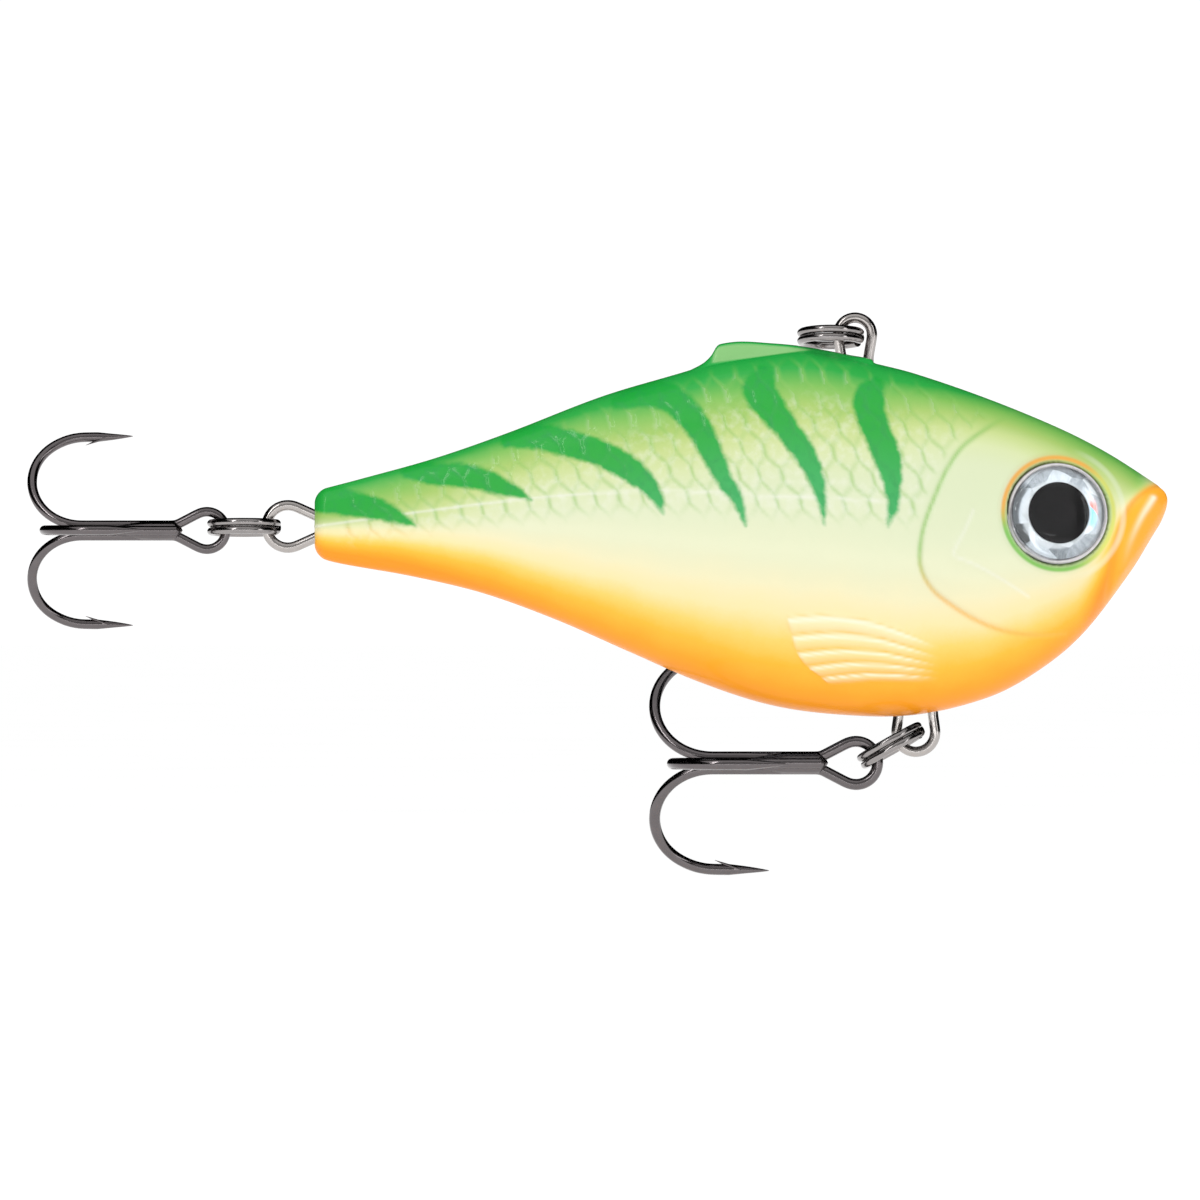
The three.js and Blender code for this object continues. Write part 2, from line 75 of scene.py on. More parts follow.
# %% Shader helper
class Term:
    """A socket in a material's node tree, or a plain number, that Python operators can work on."""

    def __init__(self, tree, value):
        self.tree = tree
        self.value = value

    def math(self, operation, *others, clamp=False):
        node = self.tree.nodes.new("ShaderNodeMath")
        node.operation = operation
        node.use_clamp = clamp
        for socket, term in zip(node.inputs, (self, *others)):
            plug(self.tree, socket, term)
        return Term(self.tree, node.outputs[0])

    def __add__(self, other):
        return self.math("ADD", other)

    def __sub__(self, other):
        return self.math("SUBTRACT", other)

    def __mul__(self, other):
        return self.math("MULTIPLY", other)

    def __truediv__(self, other):
        return self.math("DIVIDE", other)

    def __rsub__(self, other):
        return Term(self.tree, other).math("SUBTRACT", self)

    __radd__ = __add__
    __rmul__ = __mul__

    def step(self, low, high):
        """0 at low and 1 at high, eased at both ends. Low may be the larger."""
        node = self.tree.nodes.new("ShaderNodeMapRange")
        node.interpolation_type = "SMOOTHSTEP"
        plug(self.tree, node.inputs["Value"], self)
        flip = low > high
        node.inputs["From Min"].default_value = min(low, high)
        node.inputs["From Max"].default_value = max(low, high)
        eased = Term(self.tree, node.outputs[0])
        return 1 - eased if flip else eased


def plug(tree, socket, term):
    value = term.value if isinstance(term, Term) else term
    if isinstance(value, bpy.types.NodeSocket):
        tree.links.new(value, socket)
    else:
        socket.default_value = value


def srgb(red, green, blue):
    """A colour as seen on a screen, 0 to 255, as the linear one that shaders use."""
    linear = []
    for channel in (red, green, blue):
        c = channel / 255
        linear.append(c / 12.92 if c <= 0.04045 else ((c + 0.055) / 1.055) ** 2.4)
    return (*linear, 1)


class Finish:
    """A material under construction."""

    def __init__(self, name, settings=None):
        self.material = bpy.data.materials.new(name)
        self.material.use_nodes = True
        self.tree = self.material.node_tree
        self.shader = self.tree.nodes["Principled BSDF"]
        for socket, value in (settings or {}).items():
            self.set(socket, value)

    def node(self, kind, settings=None, output=0, **inputs):
        node = self.tree.nodes.new("ShaderNode" + kind)
        for key, value in (settings or {}).items():
            setattr(node, key, value)
        for key, value in inputs.items():
            plug(self.tree, node.inputs[key.replace("_", " ")], value)
        return Term(self.tree, node.outputs[output])

    def ramp(self, factor, stops):
        node = self.tree.nodes.new("ShaderNodeValToRGB")
        elements = node.color_ramp.elements
        for index, (place, colour) in enumerate(stops):
            element = elements[index] if index < 2 else elements.new(place)
            element.position = place
            element.color = colour
        plug(self.tree, node.inputs[0], factor)
        return Term(self.tree, node.outputs[0])

    def mix(self, factor, first, second, blend="MIX"):
        node = self.tree.nodes.new("ShaderNodeMix")
        node.data_type = "RGBA"
        node.blend_type = blend
        for index, term in ((0, factor), (6, first), (7, second)):
            plug(self.tree, node.inputs[index], term)
        return Term(self.tree, node.outputs[2])

    def attribute(self, name):
        return self.node("Attribute", {"attribute_name": name}, output=2)

    def place(self):
        """Object coordinates in millimetres."""
        coordinates = self.node("TexCoord", output=3)
        node = self.tree.nodes.new("ShaderNodeVectorMath")
        node.operation = "SCALE"
        plug(self.tree, node.inputs[0], coordinates)
        node.inputs["Scale"].default_value = 1 / MM
        return Term(self.tree, node.outputs[0])

    def noise(self, scale, detail=3, vector=None):
        """Noise between 0 and 1; scale is in waves per millimetre."""
        vector = self.place() if vector is None else vector
        return self.node("TexNoise", Vector=vector, Scale=scale, Detail=detail)

    def bump(self, height, depth):
        """Feeds the shader's normal with a height between 0 and 1, depth in millimetres."""
        normal = self.node("Bump", Height=height, Distance=depth * MM, Strength=1.0)
        self.set("Normal", normal)

    def set(self, socket, value):
        plug(self.tree, self.shader.inputs[socket], value)


print("shader helper ready")

# %% [markdown]
# ## Measures of the body
# The fish is drawn by three smooth curves along its length: the back, the belly and the half thickness.
# Each is a short list of points that a curve runs through. Every cross-section is a rounded oval between
# them. The engineering model follows the same outline, so the fine skin lies on top of it.

# %% Body curves, in millimetres
TAIL_X = -44.4
NOSE_X = 25.6
FULLNESS = 2.2
END_ROUND = 1.0
NOSE_ROUND = 0.8
NOSE_ROUND_WIDTH = 2.2
RIDGE_REAR, RIDGE_FRONT = -13.6, 1.6
RIDGE_TOP_HALF, RIDGE_FOOT_HALF = 0.8, 1.35


def curve_through(points):
    """A smooth z(x) through points given in order of x."""
    xs, zs = (np.array(column, float) for column in zip(*points))
    slopes = np.gradient(zs, xs)
    slopes[1:-1] = (zs[2:] - zs[:-2]) / (xs[2:] - xs[:-2])

    def at(x):
        x = np.asarray(x, float)
        i = np.clip(np.searchsorted(xs, x, side="right") - 1, 0, len(xs) - 2)
        span = xs[i + 1] - xs[i]
        t = (x - xs[i]) / span
        rise = zs[i + 1] - zs[i]
        a = slopes[i] * span - rise
        b = -slopes[i + 1] * span + rise
        return zs[i] + rise * t + t * (1 - t) * (a * (1 - t) + b * t)

    return at


back = curve_through([
    (TAIL_X - 0.2, -12.9), (-40.4, -11.8), (-34.5, -10.15), (-28.6, -8.1), (-20.7, -5.05), (-13.5, -2.9),
    (-11.9, -2.3), (-8.5, -1.69), (-4.2, -1.2), (-1, -1.7), (1.5, -2.33), (4.9, -3.2), (10.85, -5.25),
    (16.8, -7.7), (20.7, -9.7), (24.6, -12.2), (NOSE_X + 0.1, -13),
])
belly = curve_through([
    (TAIL_X - 0.2, -18.2), (-42.4, -18.8), (-36.5, -19.85), (-30.6, -21.25), (-24.65, -23.4),
    (-18.7, -26), (-12.8, -28.55), (-6.9, -30.45), (-1, -31.25), (4.9, -31.25), (10.85, -29.85),
    (14.8, -27.8), (18.7, -24.6), (22.7, -19.4), (24.6, -16.3), (NOSE_X + 0.1, -14.6),
])
half_thickness = curve_through([
    (TAIL_X - 0.2, 1.3), (-36, 2.1), (-28, 3.2), (-18, 4.6), (-8, 5.65), (2, 6.0), (10, 5.8), (16, 5.1),
    (21, 3.9), (24.5, 2.4), (NOSE_X + 0.1, 1.7),
])
# The ridge on the back, as heights of its top edge.
ridge_top = curve_through([
    (-13.6, -2.95), (-12.45, -2.33), (-11.8, -1.7), (-11.36, -0.97), (-11.0, -0.76), (-9.4, -0.57),
    (-7, -0.7), (-4.75, -0.9), (-2.5, -1.27), (-0.35, -1.69), (1.3, -2.0), (1.5, -2.2), (1.6, -2.36),
])


def ease(value, low, high):
    """0 at low, 1 at high and smooth between; low may be the larger."""
    t = np.clip((value - low) / (high - low), 0, 1)
    return t * t * (3 - 2 * t)


def rounding(distance, radius):
    t = 1 - np.clip(distance / radius, 0, 1)
    return np.sqrt(np.clip(1 - t * t, 0, 1))


def bare_body(x, angle):
    """Half-width and height of the skin at x, at an angle of 0 on the back to pi under the belly."""
    tail = END_ROUND * (1 - rounding(x - TAIL_X, END_ROUND))
    nose = NOSE_ROUND * (1 - rounding(NOSE_X - x, NOSE_ROUND))
    top = back(x) - tail - nose
    bottom = belly(x) + tail + nose
    half = (half_thickness(x) - tail) * rounding(NOSE_X - x, NOSE_ROUND_WIDTH)
    power = 2 / FULLNESS
    across = half * np.abs(np.sin(angle)) ** power
    up = np.sign(np.cos(angle)) * np.abs(np.cos(angle)) ** power
    height = (top + bottom) / 2 + (top - bottom) / 2 * up
    # The ridge lifts the strip along the middle of the back.
    ridge = np.clip(ridge_top(x) - back(x), 0, 2) * (x > RIDGE_REAR) * (x < RIDGE_FRONT)
    height = height + ridge * (1 - ease(across, RIDGE_TOP_HALF, RIDGE_FOOT_HALF)) * (up > 0)
    return across, height


print("body", round(NOSE_X - TAIL_X, 1), "mm long,", round(2 * float(half_thickness(2)), 1), "mm thick")

# %% [markdown]
# ## Relief
# Scales, the lateral line, the gill cover, the mouth and the pectoral fin are moulded into the skin as a
# few tenths of a millimetre of height. Each is drawn in the side view by a curve, and a vertex is raised
# or lowered by how far it lies from that curve. Doing it in code keeps both sides alike and lets the paint
# use the same distances, so colour and shape agree; the paint also puts painted shade in the grooves and
# painted highlights on the ridges.


# %% Distances to drawn curves
def lengths_along(points):
    """How far along the path each of its points lies."""
    return np.concatenate([[0], np.cumsum(np.linalg.norm(np.diff(points, axis=0), axis=1))])


def smooth_path(points, count=160):
    """Evenly dense points along a smooth curve through a few given ones; extra columns come along."""
    points = np.array(points, float)
    steps = lengths_along(points[:, :2])
    places = np.linspace(0, steps[-1], count)
    return np.stack([curve_through(list(zip(steps, column)))(places) for column in points.T], axis=1)


def nearest(path, x, z):
    """Distance from each point to the path, and its side: +1 to the left of the way it runs, else -1."""
    best = np.full(x.shape, 1e9)
    side = np.ones(x.shape)
    ahead = np.gradient(path[:, :2], axis=0)
    for (px, pz), (ax, az) in zip(path[:, :2], ahead):
        distance = np.hypot(x - px, z - pz)
        closer = distance < best
        best = np.where(closer, distance, best)
        side = np.where(closer, np.sign((z - pz) * ax - (x - px) * az), side)
    return best, side


def ribbon(path, x, z):
    """Distance outside a ribbon whose half width is the path's third column; negative inside."""
    best = np.full(x.shape, 1e9)
    for px, pz, half in path:
        best = np.minimum(best, np.hypot(x - px, z - pz) - half)
    return best


print("curve helpers ready")

# %% Curves moulded into the skin, in millimetres
gill_line = smooth_path([
    (15.2, -5.9), (13.6, -6.3), (11.9, -7.0), (10.2, -8.1), (8.6, -9.4), (7.4, -11.2), (6.5, -13.2),
    (5.7, -15.3), (5.25, -17.3), (5.3, -19.2), (6.2, -20.9), (7.9, -22.3), (9.9, -23.5), (12.2, -24.4),
    (14.8, -24.75), (17.2, -24.6),
])
lip_ridge_and_highlight = smooth_path([(24.3, -13.5), (23.3, -15.1), (22.4, -17.1), (21.8, -19.2)])
cheek_upper = smooth_path([(9.6, -14.5), (8.8, -16.3), (7.9, -18.0)])
cheek_lower = smooth_path([(8.0, -18.2), (9.9, -19.0), (11.9, -20.1), (14.1, -21.5)])
lip_line = smooth_path([
    (25.2, -12.3), (24.2, -12.7), (23.0, -13.6), (22.1, -14.9), (21.5, -16.5), (21.1, -18.3),
    (20.8, -20.2), (20.6, -22),
])
lateral_line = curve_through([
    (-44.5, -15.8), (-40.2, -15.2), (-36.6, -14.7), (-31.6, -14.05), (-26.7, -13.5), (-19.3, -12.95),
    (-11.9, -13.0), (-7.7, -13.25), (2.1, -13.7), (6, -13.9),
])
# The pectoral fin's six grooves, from top to bottom.
fin_grooves = [
    curve_through([(-5.9, -23.1), (-2.1, -22.95), (0.9, -23.4), (3.7, -24.3), (6.9, -25.6)]),
    curve_through([(-5.5, -24.6), (-1.7, -24.4), (1.6, -24.8), (4.1, -25.5), (6.9, -26.4)]),
    curve_through([(-5.0, -26.0), (-1.6, -25.75), (1.6, -25.9), (4.1, -26.4), (6.9, -27.1)]),
    curve_through([(-4.2, -27.2), (-0.8, -26.8), (2.1, -26.9), (4.1, -27.15), (6.9, -27.6)]),
    curve_through([(-3.0, -28.1), (-0.4, -27.8), (1.6, -27.7), (4.1, -27.85), (6.9, -28.1)]),
    curve_through([(-2.6, -28.6), (-0.4, -28.5), (1.6, -28.35), (4.1, -28.4), (6.9, -28.5)]),
]
fin_rear = curve_through([(-28.8, -2.2), (-28.1, -2.9), (-27.2, -4.1), (-26.0, -4.95), (-24.6, -5.35),
                          (-23.0, -5.8)])

EYE_X, EYE_Z, EYE_FLOOR_Y = 16.42, -14.8, 3.6
EYE_RADIUS = 4.2
EYE_TILT_NOSE, EYE_TILT_UP = 11, 7
UPPER_REAR = 115
print(len(fin_grooves) - 1, "fin rays")

# %% [markdown]
# ### Scales
# Fish scales overlap like roof tiles in staggered rows. Seen flat they make a net of tall six-sided cells.
# For every point the code finds the cell that holds it and how far its nearest edge is.

# %% Scale net
SCALE_WIDTH = 1.86
SCALE_ROW = 2.1
SCALE_STRAIGHT = 0.55
SCALE_PEAK = SCALE_ROW - SCALE_STRAIGHT


def scale_edge(u, v):
    """Distance to the nearest edge of the scale net, that edge's weight, and the place along the scale."""
    slope = (SCALE_PEAK - SCALE_STRAIGHT) / (SCALE_WIDTH / 2)
    best = np.full(u.shape, -1e9)
    along = np.zeros(u.shape)
    weight = np.ones(u.shape)
    for row_shift in (0, 1):
        row = np.floor(v / SCALE_ROW) + row_shift
        shifted = u / SCALE_WIDTH - 0.5 * (row % 2)
        column = np.round(shifted)
        across = (shifted - column) * SCALE_WIDTH
        up = v - row * SCALE_ROW
        side = SCALE_WIDTH / 2 - np.abs(across)
        slant = (SCALE_PEAK - np.abs(up) - slope * np.abs(across)) / math.hypot(1, slope)
        inside = np.minimum(side, slant)
        edge_weight = np.where(side < slant, 1.0, np.where(across * up > 0, 0.8, 0.5))
        weight = np.where(inside > best, edge_weight, weight)
        along = np.where(inside > best, across / (SCALE_WIDTH / 2), along)
        best = np.maximum(best, inside)
    return np.maximum(best, 0), weight, along


# Heights of the relief, in millimetres.
COVER_RISE = 0.15
LINE_DEPTH = 0.05
SCALE_LEAN = 0.022
FIN_BASE = 0.03
FIN_RISE = 0.17
LIP_RISE, LIP_GROOVE, LIP_RIDGE_RISE = 0.16, 0.06, 0.12


def bell(distance, width):
    return np.exp(-((distance / width) ** 2))


def fin_relief(x, z):
    """Height of the fin's rays, 0 to 1, the painted highlight line along each, and how far the point is in
    the fin.
    """
    height = np.zeros(x.shape)
    crest = np.zeros(x.shape)
    for upper, lower in zip(fin_grooves, fin_grooves[1:]):
        high, low = upper(x), lower(x)
        share = np.clip((z - low) / (high - low), 0, 1)
        ray = np.sin(np.pi * share ** 0.8)
        in_ray = (z <= high) & (z > low)
        height = np.where(in_ray, ray, height)
        crest = np.where(in_ray, bell(share - 0.74, 0.13), crest)
    rear = ease(x - fin_rear(np.clip(z, -28.8, -23.0)), 0.0, 0.25)
    within = ease(fin_grooves[0](x) + 0.1 - z, 0, 0.25) * ease(z - fin_grooves[-1](x), -0.2, 0)
    return height, crest, within * rear * ease(x, 7.0, 3.6)


def relief(x, z):
    """Height of the moulded relief in mm, and masks from 0 to 1 that the paint uses."""
    to_gill, side = nearest(gill_line, x, z)
    ahead = to_gill * side
    behind_gill = (ahead < 0) & (x < 16)
    gill = bell(to_gill, 0.2)
    ends = ease(back(x) - z, 0.8, 3.2) * ease(x, 17.5, 14)
    gill = gill * (0.35 + 0.65 * ends)
    cover = COVER_RISE * ease(ahead, -0.05, 0.5) * ease(to_gill, 5, 0.8) * ends
    cheek = np.maximum(bell(nearest(cheek_upper, x, z)[0], 0.13), bell(nearest(cheek_lower, x, z)[0], 0.13))
    to_lip, side = nearest(lip_line, x, z)
    lip_ahead = to_lip * side
    to_ridge = nearest(lip_ridge_and_highlight, x, z)[0]
    ridge = bell(to_ridge, 0.5)
    lip = LIP_RISE * ease(lip_ahead, 0, 0.9) - LIP_GROOVE * bell(to_lip, 0.22) + LIP_RIDGE_RISE * ridge
    lip = lip * ease(z - belly(x), 0, 1.5)
    above_lateral = z - lateral_line(np.clip(x, TAIL_X, 6))
    line = bell(above_lateral, 0.12) * ease(x, 3.5, 1.5)
    depth = back(x) - z
    row_curve = 0.12 * np.sin(1.3 * x + 0.7 * z)
    edge, weight, along = scale_edge(x + 0.25 * above_lateral + row_curve, above_lateral + 0.4)
    body_behind = ease(np.where(behind_gill, to_gill, 0), 0.3, 1.2) * ease(x, -43.6, -41)
    scaly = body_behind * ease(above_lateral, -2.6, -0.4) * ease(depth, 0.3, 2.0)
    groove = ease(edge, 0.34, 0.0) * weight
    fin, crest, in_fin = fin_relief(x, z)
    height = (cover - LINE_DEPTH * gill - LINE_DEPTH * cheek + lip + LINE_DEPTH * line
              + scaly * (-LINE_DEPTH * groove - SCALE_LEAN * along)
              + in_fin * (FIN_RISE * fin + FIN_BASE))
    # Several masks carry painted light: painted shade in the gill, scale and fin grooves, and painted
    # highlights on the lip ridge, the fin rays and the raised side of each scale.
    masks = {
        "gill": gill,
        "cheek": cheek,
        "lip": ease(lip_ahead, -0.1, 0.5),
        "lip_edge": bell(to_lip, 0.3),
        "lip_ridge_and_highlight": bell(to_ridge, 0.24),
        "lateral": line,
        "scale_groove": scaly * groove,
        "scale_tilt_highlight": scaly * along,
        "fin_groove_shade": in_fin * (1 - ease(fin, 0.0, 0.55)),
        "fin_ray_highlight": in_fin * fin,
        "fin_crest_highlight": in_fin * crest,
        "scaly": scaly,
    }
    return height, masks


print("scales", SCALE_WIDTH, "mm wide")

# %% [markdown]
# ### Stripes
# The six stripes are sprayed through a stencil, so their edges are a little soft. Each is a ribbon: a
# curve with a half width at every point. The distance to the nearest ribbon is kept on the vertices, and
# the paint shader turns it into an edge as soft as it likes.

# %% Stripes, in millimetres: x, z and half width
STRIPES = [
    [(-44.6, -13.3, 1.2), (-43.2, -13.5, 1.2), (-41.9, -13.8, 1.1), (-39.8, -14.2, 0.95),
     (-38.2, -14.7, 0.7), (-37.1, -15.2, 0.41), (-36.1, -15.7, 0.04)],
    [(-36.8, -11.3, 0.5), (-35.6, -11.3, 0.85), (-34.1, -11.5, 0.94), (-32.3, -11.6, 0.99),
     (-30.6, -11.9, 0.93), (-28.8, -12.6, 0.66), (-27.7, -13.0, 0.41), (-26.6, -13.6, 0.04)],
    [(-28.6, -8.8, 0.5), (-26.5, -8.4, 1.0), (-24.2, -8.8, 1.15), (-21.4, -9.6, 1.08), (-19.3, -10.6, 1.08),
     (-17.5, -11.9, 0.89), (-16.3, -13.4, 0.49), (-15.8, -14.7, 0.04)],
    [(-19.6, -5.6, 0.5), (-17.9, -5.1, 0.9), (-16.4, -4.9, 1.15), (-15.0, -5.4, 1.15), (-13.8, -6.5, 1.13),
     (-12.9, -7.7, 1.07), (-11.9, -9.6, 0.9), (-10.8, -11.9, 0.7), (-9.7, -13.7, 0.45),
     (-9.3, -14.9, 0.21), (-9.0, -15.7, 0.04)],
    [(-7.5, -3.4, 0.8), (-7.9, -4.5, 1.35), (-7.0, -6.0, 1.2), (-5.5, -8.0, 0.97), (-4.4, -9.5, 0.92),
     (-3.6, -11.0, 0.76), (-3.1, -12.4, 0.59), (-2.8, -13.8, 0.35), (-2.6, -15.6, 0.04)],
    [(1.6, -4.3, 0.75), (1.1, -5.2, 1.25), (1.2, -6.4, 1.23), (1.7, -8.0, 1.13), (2.4, -9.7, 1.13),
     (2.8, -11.1, 0.94), (3.0, -12.9, 0.62), (3.0, -14.3, 0.41), (2.6, -15.7, 0.08)],
]


def stripe_distance(x, z):
    best = np.full(x.shape, 1e9)
    for stripe in STRIPES:
        best = np.minimum(best, ribbon(smooth_path(stripe, 70), x, z))
    return best


print(len(STRIPES), "stripes")

# %% [markdown]
# ## The skin
# A flat grid is added with the grid operator and wrapped round one side of the fish: one direction runs
# from tail to nose, the other from back to belly. It is finer at the rounded ends and on the ridge. Each
# vertex is then pushed along its own normal by the relief. A grid gives even, fine faces, which
# subdividing a rough shape would not.

# %% Skin of one side
STATIONS = 508
ROWS = 188
END_STATIONS = 26
RIDGE_ROWS = 40
RIDGE_ANGLE = 0.34
SOCKET_DIP = 0.16
SOCKET_FLOOR = 0.02


def deselect():
    for obj in bpy.context.selected_objects:
        obj.select_set(False)


def stations():
    """Places along the body: even in the middle, close together where the ends round off."""
    turn = np.linspace(0, math.pi / 2, END_STATIONS + 1)
    tail = TAIL_X + END_ROUND * (1 - np.cos(turn))
    nose = NOSE_X - NOSE_ROUND_WIDTH * (1 - np.cos(turn[::-1]))
    middle = np.linspace(tail[-1], nose[0], STATIONS - 2 * END_STATIONS + 1)
    return np.concatenate([tail[:-1], middle, nose[1:]])


def eye_matrix(sign):
    """Turns and moves a piece built round +Z at the origin so that it faces out of its eye socket."""
    tilt = Matrix.Rotation(sign * math.radians(EYE_TILT_UP - 90), 4, "X")
    turn = Matrix.Rotation(-sign * math.radians(EYE_TILT_NOSE), 4, "Z")
    place = Matrix.Translation(Vector((EYE_X, sign * EYE_FLOOR_Y, EYE_Z)) * MM)
    return place @ turn @ tilt


def sink_socket(points):
    """Presses a flat-floored socket for the eye into the right side's skin points, in mm."""
    into = np.array(eye_matrix(-1).inverted())
    out = np.array(eye_matrix(-1))
    local = (points * MM) @ into[:3, :3].T + into[:3, 3]
    local /= MM
    radius = np.hypot(local[..., 0], local[..., 1])
    local[..., 2] -= SOCKET_DIP * ease(radius, EYE_RADIUS + 1.0, EYE_RADIUS + 0.35)
    floor = np.minimum(local[..., 2], SOCKET_FLOOR)
    sunk = ease(radius, EYE_RADIUS + 0.12, EYE_RADIUS - 0.02)
    local[..., 2] = local[..., 2] * (1 - sunk) + floor * sunk
    world = (local * MM) @ out[:3, :3].T + out[:3, 3]
    turn = np.degrees(np.arctan2(points[..., 2] - EYE_Z, points[..., 0] - EYE_X))
    return world / MM, radius, np.abs((turn - UPPER_REAR + 180) % 360 - 180)


def side_points():
    """The right side's skin as a grid of points in mm, and the masks for its paint."""
    over_ridge = np.linspace(0, RIDGE_ANGLE, RIDGE_ROWS + 1)
    below = np.linspace(RIDGE_ANGLE, math.pi, ROWS - RIDGE_ROWS + 1)
    x, angle = np.meshgrid(stations(), np.concatenate([over_ridge, below[1:]]), indexing="ij")
    across, z = bare_body(x, angle)
    points = np.stack([x, -across, z], axis=-1)
    along = np.gradient(points, axis=0)
    around = np.gradient(points, axis=1)
    normal = np.cross(along, around)
    normal /= np.maximum(np.linalg.norm(normal, axis=-1, keepdims=True), 1e-9)
    height, masks = relief(x, z)
    seam = ease(across, 0.0, 0.5)
    points = points - normal * (height * seam)[..., None] * np.sign(normal[..., 1:2] + 1e-9)
    points, socket, turn = sink_socket(points)
    points[:, (0, -1), 1] = 0
    points[0, :, 1] = 0
    masks["stripe"] = stripe_distance(x, z)
    masks["socket"] = socket
    masks["socket_turn"] = turn
    masks["depth"] = back(x) - z
    masks["rise"] = (z - belly(x)) / np.maximum(back(x) - belly(x), 0.1)
    panel_foot = -2.4 + (x + 11.9) * 0.134
    masks["panel"] = (ease(z - panel_foot, -0.05, 0.1) * ease(ridge_top(x) - z, 0.12, 0.3)
                      * ease(x, -11.9, -11.5) * (x < 0) * (z > -3))
    return points, masks


skin, skin_masks = side_points()
print("skin grid", skin.shape[:2], "depth", round(float(np.ptp(skin[..., 2])), 1), "mm")

# %% [markdown]
# ### Wall
# The skin alone is an open sheet. A moulded half also has an inner wall and a flat rim where it meets the
# other half, so a second, coarse grid makes the hollow. The two sheets are joined and the gap between
# their edges is filled, which leaves one closed shell.

# %% Inner wall of one side
WALL = 1.4
HOLLOW_TAIL_X = -36
HOLLOW_STATIONS = 60
HOLLOW_ROWS = 24
EYE_SQUEEZE = 0.3
SQUEEZE_FROM, SQUEEZE_TO = 9, 12
BARE_PLASTIC = {"rise": 0.5, "stripe": 9, "socket": 9, "socket_turn": 180, "depth": 9}


def hollow_points():
    """The right side's inner wall in mm. It draws in toward the middle to pass behind the eye sockets."""
    turn = np.linspace(0, math.pi, HOLLOW_STATIONS + 1)
    length = NOSE_X - WALL - HOLLOW_TAIL_X
    x, angle = np.meshgrid(HOLLOW_TAIL_X + length * (1 - np.cos(turn)) / 2,
                           np.linspace(0, math.pi, HOLLOW_ROWS + 1), indexing="ij")
    top, bottom = back(x) - WALL, belly(x) + WALL
    across = (half_thickness(x) - WALL) * np.sin(angle)
    across *= 1 - EYE_SQUEEZE * ease(x, SQUEEZE_FROM, SQUEEZE_TO)
    across[(0, -1), :] = 0
    across[:, (0, -1)] = 0
    return np.stack([x, -across, (top + bottom) / 2 + (top - bottom) / 2 * np.cos(angle)], axis=-1)


hollow = hollow_points()
hollow_masks = {key: np.full(hollow.shape[:2], BARE_PLASTIC.get(key, 0)) for key in skin_masks}
print("hollow grid", hollow.shape[:2])

# %% Build both halves


def wrapped_grid(name, points, masks, sign):
    """A grid whose vertices move to the given points, with a number for every mask on each vertex."""
    columns, rows = points.shape[0] - 1, points.shape[1] - 1
    deselect()
    bpy.ops.mesh.primitive_grid_add(x_subdivisions=columns, y_subdivisions=rows, size=2)
    grid = bpy.context.object
    grid.name = name
    flat = np.empty(len(grid.data.vertices) * 3)
    grid.data.vertices.foreach_get("co", flat)
    flat = flat.reshape(-1, 3)
    i = np.rint((flat[:, 0] + 1) / 2 * columns).astype(int)
    j = np.rint((flat[:, 1] + 1) / 2 * rows).astype(int)
    placed = points[i, j] * (1, -sign, 1) * MM
    grid.data.vertices.foreach_set("co", placed.ravel())
    for key, values in masks.items():
        layer = grid.data.attributes.new(key, "FLOAT", "POINT")
        layer.data.foreach_set("value", values[i, j].astype(np.float32))
    return grid


def build_half(name, sign):
    inner = wrapped_grid(name + "_hollow", hollow, hollow_masks, sign)
    half = wrapped_grid(name, skin, skin_masks, sign)
    inner.select_set(True)
    bpy.ops.object.join()
    bpy.ops.object.shade_smooth()
    bpy.ops.object.mode_set(mode="EDIT")
    bpy.ops.mesh.select_mode(type="EDGE")
    bpy.ops.mesh.select_all(action="SELECT")
    bpy.ops.mesh.remove_doubles(threshold=1e-6)
    bpy.ops.mesh.select_all(action="DESELECT")
    bpy.ops.mesh.select_non_manifold(use_wire=False, use_multi_face=False, use_non_contiguous=False,
                                     use_verts=False)
    bpy.ops.mesh.mark_sharp()
    bpy.ops.mesh.fill(use_beauty=False)
    bpy.ops.mesh.select_all(action="SELECT")
    bpy.ops.mesh.normals_make_consistent(inside=False)
    bpy.ops.mesh.select_mode(type="VERT")
    bpy.ops.object.mode_set(mode="OBJECT")
    triangles = sum(len(face.vertices) - 2 for face in half.data.polygons)
    print(name, triangles, "triangles in one closed shell")
    return half


body_halves = {
    "body_skin_right": build_half("body_skin_right", -1),
    "body_skin_left": build_half("body_skin_left", 1),
}

# %% [markdown]
# ## Body paint
# The paint goes on in the order a lure is sprayed: pearl white first, orange misted up from the belly,
# yellow-green and then green down from the back, stripes over that, and a clear gloss coat over all. The
# grooves get painted shade, and the lip ridge, fin rays and scales get painted highlights. The ramps below
# are those layers, read by height on the fish.

# %% Body paint
BELLY_SHADE = 0.78
FLANK_SHADE = 0.585
paint = Finish("body_paint", {"Coat Weight": 0.25, "Coat Roughness": 0.12, "Coat IOR": 1.45,
                              "Specular IOR Level": 0.2})


